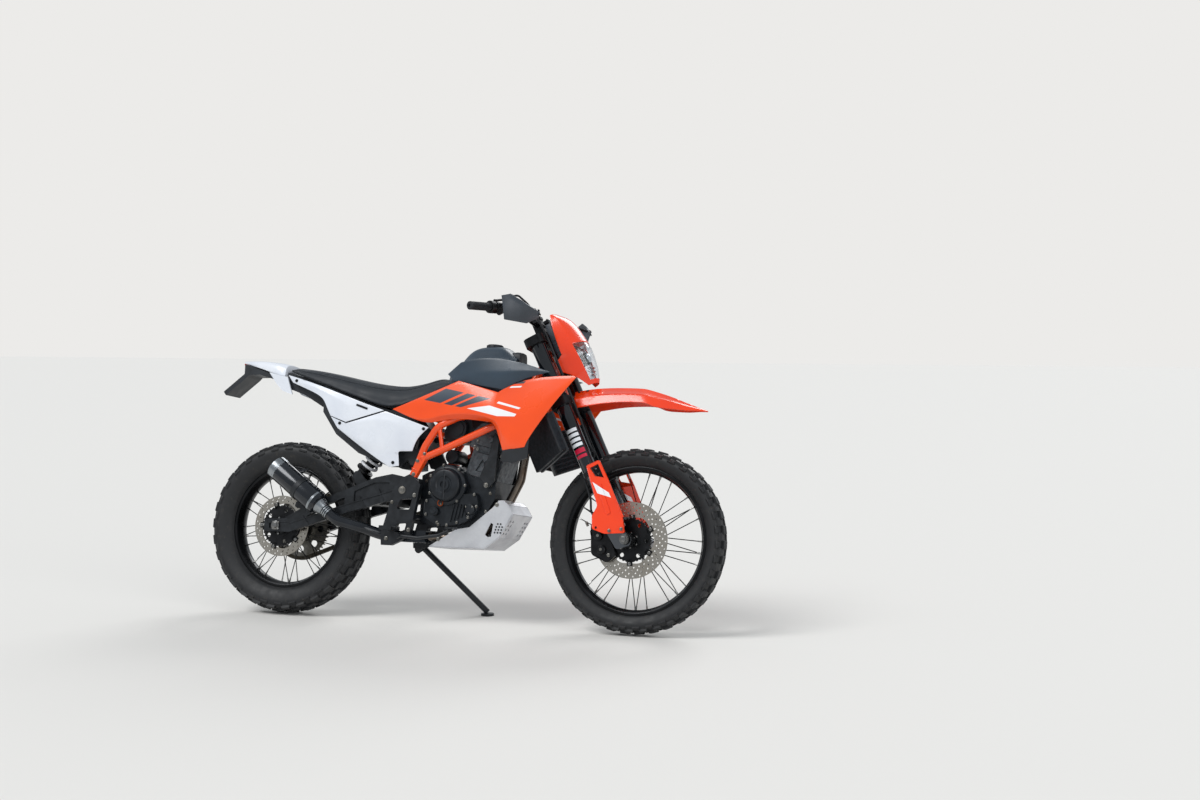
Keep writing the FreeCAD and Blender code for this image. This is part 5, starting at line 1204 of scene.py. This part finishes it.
# Plain printed bars wrap the outer side of the right fork tube: four white and two
# red, cut from glossy label film.
label_white = surface("white_label_film", "E9ECF0", "DFE3E8", 0.3, mottle=80, grain=0.5,
                      relief=0.05)
label_red = surface("red_label_film", "C4143C", "AE1034", 0.3, mottle=80, grain=0.5, relief=0.05)
LABEL_RADIUS = 29.3
arc = [(LEG_X + LABEL_RADIUS * sin(radians(angle)), -LEG_Y - LABEL_RADIUS * cos(radians(angle)))
       for angle in range(-44, 47, 10)]
bm = bmesh.new()
for low, high, finish in ((814, 827, 0), (794, 807, 0), (774, 787, 0), (754, 767, 0),
                          (727, 745, 1), (708, 720, 1)):
    join(bm, lofted([[(x, y, z) for x, y in arc] for z in (low, high)], 1, 1.0, wall=0.4,
                    closed=False, out=(0, -1, 0)), finish=finish)
keep(bm, "fork_tube_bars", "steering", [label_white, label_red], sharp=40)

# The fork guards are orange moulded plastic, open round a window at the top and
# wide over the axle, with one white stripe and screws in their ears.
red_orange = surface("red_orange_plastic", "F5400A", "EA3807", 0.24, mottle=150, grain=0.7,
                     relief=0.07, spread=0.04, coat=0.5)
guard_orange = red_orange.copy()
guard_orange.name = "striped_orange_plastic"
print_on(guard_orange, "F1F2F5", [[(33, 559), (32, 606), (75, 542), (76, 521)]])
GUARD = [(90, 670), (34, 672), (14, 515), (-20, 492), (-39, 447), (-2, 410), (72, 379), (88, 435),
         (93, 587)]
WINDOW = [(80, 658), (44, 658), (50, 622), (80, 602)]
WRAP = [(60, 82), (67, 80), (92, 134.8), (92, 141), (85, 141)]
bm = bmesh.new()
pair(bm, plate(WRAP, 150, corner=2, edge=0.6), at(0, 0, 586) @ LEFT)
pair(bm, plate(GUARD, 6.4, corner=7, edge=2.0, holes=[WINDOW, (-23, 445, 5)]), at(0, 135.2, 0))
pair(bm, plate([(34, 470), (52, 470), (62, 585), (44, 585)], 3, corner=4, edge=1.2),
     at(0, 140.1, 0))
bolts(bm, 5, 4, 141.6, [(20, 412), (66, 398)], 1)
keep(bm, "fork_leg_guards", "steering", [guard_orange, zinc], "fork_guards")

# The front caliper is a two-piston floating casting, anodised black and bolted
# to the right fork leg's lower end with zinc screws; a nut closes the axle.
bm = bmesh.new()
CALIPER = [(-97, 372), (-51, 316), (-5, 330), (-1, 462), (-51, 478)]
join(bm, plate(CALIPER, 18, corner=12, edge=4), at(0, -92, 0))
join(bm, plate(CALIPER, 17, corner=12, edge=4), at(0, -61, 0))
join(bm, plate([(-90, 380), (-60, 346), (-40, 400), (-44, 452), (-70, 462)], 14, corner=8,
               edge=2), at(0, -75, 0))
for x, z in ((-52, 372), (-42, 424)):
    join(bm, turned([(0, -99), (13, -99), (17, -96), (17, -90), (0, -90)], 36), at(x, 0, z))
    join(bm, collar(0, 6, -100.4, -98.6, 6), at(x, 0, z), 1)
join(bm, block(30, 26, 24, 4), at(-14, -104, 449))
for z in (340, 466):
    join(bm, bolt(5, 5), at(-34, -92, z) @ RIGHT, 1)
join(bm, rod((-66, -90, 474), (-66, -90, 492), 5, 12, 1), finish=1)
keep(bm, "front_brake_caliper", "steering", [black_machined, zinc],
     "front_caliper")
bm = bmesh.new()
join(bm, bolt(12, 9), at(62, -146, 358) @ RIGHT)
join(bm, collar(12.5, 19, -146, -143), at(62, 0, 358))
keep(bm, "front_axle_nut", "steering", [nickel])

# The front mudguard is a long crowned blade of thick orange plastic, stiffened by
# two raised ridges, screwed up under the lower yoke.
FENDER = [
    (67.5, 80, 978, 905), (95, 84, 970, 895), (124, 86, 962, 886), (200, 84, 932, 864),
    (309, 76, 876, 812), (331, 74, 862, 792), (345, 72, 850, 772), (400, 54, 801, 740),
    (440, 38, 757, 716), (480, 21, 714, 699), (508, 9, 687, 683)]
SHARES = [(0, 4, 0), (0.16, 3.5, 0), (0.27, 0, 0), (0.54, 5, 0.2), (0.84, 0, 0.46),
          (0.93, 2, 0.7), (1, 0, 1)]
rows = []
for x, half, top, edge in FENDER:
    raise_by = min(1.0, (top - edge) / 40)
    rows.append(both_sides([(x, half * share, top - dip * raise_by - (top - edge) * fall)
                            for share, dip, fall in SHARES]))
bm = lofted(rows, 2, 0.9, wall=3.2, edge=0.9, closed=False, folds=(2, 4, 8, 10))
keep(bm, "front_mudguard", "steering", [red_orange], "front_fender", 40)
bm = bmesh.new()
for x, z in ((84, 966), (118, 955.8)):
    pair(bm, bolt(4.5, 3), at(x, 30, z) @ turn(14))
join(bm, block(60, 70, 14, 3), at(72, 0, 955))
keep(bm, "mudguard_fixing", "steering", [black_machined])

# The headlight mask is a glossy orange moulding round a clear polycarbonate lens;
# behind the lens are chrome steps, a projector and a pale light guide at each edge.
LENS_LOW, LENS_HIGH = 990, 1139
MASK = [
    (974, [(164, 0), (161, 10), (156, 21), (143, 30), (132, 34)]),
    (990, [(171, 0), (168, 16), (161, 27), (147, 38), (124, 44)]),
    (1020, [(180, 0), (175, 26), (166, 41), (150, 52), (108, 64)]),
    (1054, [(186, 0), (178, 34), (168, 50), (151, 61), (70, 78)]),
    (1102, [(190, 0), (178, 45), (167, 60), (150, 71), (67, 84)]),
    (1116, [(190, 0), (177, 47), (165, 62), (149, 72), (95, 86)]),
    (1139, [(187, 0), (173, 52), (162, 65), (147, 74), (94, 86)]),
    (1194, [(175, 0), (168, 36), (156, 62), (142, 75), (98, 86)]),
    (1252, [(159, 0), (153, 34), (144, 56), (136, 70), (101, 80)]),
    (1285, [(122, 0), (121, 30), (117, 52), (112, 62), (106, 66)])]
rows = [both_sides([(x, y, z) for x, y in half]) for z, half in MASK]
bm = lofted(rows, 3, 0.9, wall=3.0, edge=0.8, closed=False, out=(1, 0, 0),
            opening=lambda spot: spot.x > 140 and LENS_LOW < spot.z < LENS_HIGH, folds=(1, 7),
            sharp=(0, 3, 4, 5, 9))
keep(bm, "lamp_mask", "steering", [red_orange], "headlight_mask", 40)
clear, tree, shader = blank("clear_polycarbonate", {
    "Base Color": colour("F4F7FA"), "Transmission Weight": 1.0, "IOR": 1.586})
film = add(tree, "MapRange", {"Value": noise(tree, 40.0), "To Min": 0.01, "To Max": 0.06})
tree.links.new(film.outputs[0], shader.inputs["Roughness"])
chrome = surface("vacuum_chrome", "C9CCD0", "B4B8BE", 0.08, metallic=1.0, mottle=40, relief=0.03,
                 spread=0.03)
light_guide = surface("milky_light_guide", "EEF3FA", "E3E9F2", 0.3, grain=0.8, relief=0.05)
LENS = [(z, half[:4]) for z, half in MASK if LENS_LOW <= z <= LENS_HIGH]
rows = [both_sides([(x - 2, y * 0.97, z) for x, y in half]) for z, half in LENS]
bm = lofted(rows, 2, 1.0, wall=2.0, closed=False, out=(1, 0, 0))
keep(bm, "lamp_lens", "steering", [clear], "headlight", 50)
rows = [both_sides([(front[0] - 44, near[1] * 0.4, z), (fold[0] - 22, fold[1] * 0.7, z),
                    (edge[0] - 6, edge[1] * 0.92, z)]) for z, (front, near, fold, edge) in LENS]
bm = lofted(rows, 2, 1.0, wall=1.5, closed=False, out=(1, 0, 0), folds=(1, 4))
pair(bm, swept([(edge[0] - 7, edge[1] * 0.86, z) for z, (front, near, fold, edge) in LENS],
               2.6, 8, 12), finish=2)
projector = at(141, 0, 1082) @ turn(-90, "Z")
join(bm, turned([(0, 30), (10, 29), (18, 24), (21, 18), (23, 18), (24, 0), (0, 0)], 40),
     projector)
join(bm, turned([(21.5, 22), (25, 20), (25, 2), (21.5, 2)], 40), projector, 1)
for step, half in ((1012, 14), (1026, 19), (1040, 24), (1122, 40)):
    join(bm, block(20, 2 * half, 2.4, 0.6), at(154 + (step - 1012) * 0.12, 0, step))
keep(bm, "lamp_inside", "steering", [chrome, black_plastic, light_guide],
     sharp=40)

# The instrument housing sits behind the mask: black plastic, ribbed at the sides,
# with a dark glass display that faces the rider.
display, tree, shader = blank("display_glass", {"Roughness": 0.06, "IOR": 1.52})
glow = add(tree, "Mix", {0: noise(tree, 12.0), 6: colour("0B1016"), 7: colour("18222C")},
           data_type="RGBA")
tree.links.new(glow.outputs[2], shader.inputs["Base Color"])
guard_grey = surface("dark_grey_plastic", "3A4048", "31373E", 0.42, grain=0.9, relief=0.2)
bm = bmesh.new()
join(bm, block(30, 128, 146, 8, 3), at(83, 0, 1186))
for step in range(4):
    pair(bm, block(20, 3, 5, 1), at(86, 64, 1140 + 16 * step))
join(bm, block(3, 96, 66, 2, 2), at(68.4, 0, 1216), 1)
for y in (-30, 0, 30):
    join(bm, round_bar(7, 3, 20, 1), at(69, y, 1166) @ turn(-90))
keep(bm, "instrument_housing", "steering", [guard_grey, display], "instruments")

# Bars: ribbed rubber grips, a throttle tube, forged levers, a fluid reservoir on
# the right and a switch block each side; the perches have tapped mirror bosses.
grip_rubber = surface("moulded_grip_rubber", "14171B", "1D2024", 0.68, mottle=20, relief=0.4)
BAR_END, BAR_BEND = Vector((-60, 405, 1350)), Vector((24, 165, 1335))
bar_way = (BAR_END - BAR_BEND).normalized()
grip_start = BAR_END - bar_way * 124
ribs = [(11.3, 0), (19, 0), (19, 4), (15.4, 6)]
for step in range(22):
    foot = 8 + step * 5
    ribs += [(14.4, foot), (14.4, foot + 1.6), (15.8, foot + 2.2), (15.8, foot + 4.4)]
ribs += [(16, 120), (16, 125), (13, 127.6), (6, 127.6), (6, 125), (11.3, 124)]
bm = bmesh.new()
pair(bm, turned(ribs, 40), between(grip_start, BAR_END) @ RIGHT)
keep(bm, "ribbed_grips", "steering", [grip_rubber], "grips")
dress(grip_rubber, "brake_hose")
perch = BAR_END - bar_way * 172
on_bar = between(perch, BAR_END) @ RIGHT


def by_perch(x, y, z):
    """A place given from the perch on the bar."""
    return at(*(perch + Vector((x, y, z))))


bm = bmesh.new()
for side in (-1, 1):
    part = bmesh.new()
    join(part, turned([(11.4, 2), (19, 2), (20, 4), (20, 20), (19, 22), (11.4, 22)], 40), on_bar)
    join(part, turned([(11.4, 25), (22, 25), (23.5, 28), (23.5, 41), (22, 44), (11.4, 44)], 40),
         on_bar)
    lever = [perch + Vector(step) for step in
             ((46, 30, -10), (60, 46, -10), (52, 106, -12), (38, 140, -14), (34, 150, -13))]
    join(part, swept(lever, 4.6, 10, 20))
    join(part, block(30, 22, 16, 3), by_perch(38, 30, -10))
    join(part, round_bar(6, 20, 16, 1), by_perch(44, 32, -20))
    join(part, block(22, 22, 30, 5, 2), by_perch(-4, 30, -16))
    boss = perch + bar_way * 22 + Vector((0, 0, 10))
    join(part, turned([(4.4, 4), (10, 4), (10, 16), (9, 18), (4.4, 18), (4.4, 8)], 30),
         Matrix.Translation(boss) @ RIGHT)
    if side < 0:
        join(part, turned([(11.4, 46), (21, 46), (24, 49), (24, 67), (21, 70), (11.4, 70)], 40),
             on_bar)
        join(part, block(46, 34, 24, 5, 2), by_perch(40, 4, 10))
        join(part, block(42, 30, 5, 1.5), by_perch(40, 4, 24))
        for x, y in ((24, -6), (56, 14)):
            join(part, round_bar(2.6, 2.4, 10), by_perch(x, y, 26))
    else:
        join(part, block(26, 30, 26, 5, 2), by_perch(30, 0, 6))
    join(bm, part, Matrix.Scale(side, 4, (0, 1, 0)))
keep(bm, "levers_and_perches", "steering", [black_machined], "controls")

# Control cables are clipped along the front of the bar, from the perches into the
# instrument housing.
bm = bmesh.new()
for drop in (0, 7.5):
    pair(bm, swept([(17, 226, 1335 - drop), (42, 168, 1331 - drop), (58, 76, 1275 - drop),
                    (62, 48, 1262 - drop), (78, 40, 1246)], 3.2, 8, 24))
for x, y, z in ((40, 156, 1320), (50, 96, 1284)):
    pair(bm, block(18, 7, 20, 2), at(x, y, z))
keep(bm, "control_cables", "steering", [grip_rubber], sharp=60)

# The hand guards are stiff dark grey shields, folded in flat facets, each on an
# alloy arm from the bar.
HAND = {
    "a": (62, 384, 1334), "t": (88, 362, 1331), "b": (108, 330, 1300), "c": (124, 262, 1262),
    "d": (120, 254, 1232), "e": (84, 304, 1218), "f": (34, 378, 1248), "g": (92, 356, 1292),
    "h": (126, 306, 1264), "k": (136, 260, 1248)}
bm = bmesh.new()
pair(bm, skin(HAND, ["atg", "agf", "gfe", "geh", "hedk", "tbhg", "bckh"],
              crisp=["aghk", "ge"], levels=1, wall=4.0, sharp="atbcdefghk"))
pair(bm, swept([(122, 266, 1262), (100, 252, 1280), (4, 224, 1339)], 6, 10, 20), finish=1)
pair(bm, collar(11.4, 17, -10, 10, 30), at(1, 231, 1339) @ turn(-14, "Z"), 1)
for x, y, z in ((132, 262, 1255), (129, 259, 1241)):
    pair(bm, bolt(4.5, 3), at(x, y, z) @ turn(80), 1)
keep(bm, "hand_shields", "steering", [guard_grey, black_machined], "hand_guards",
     25)
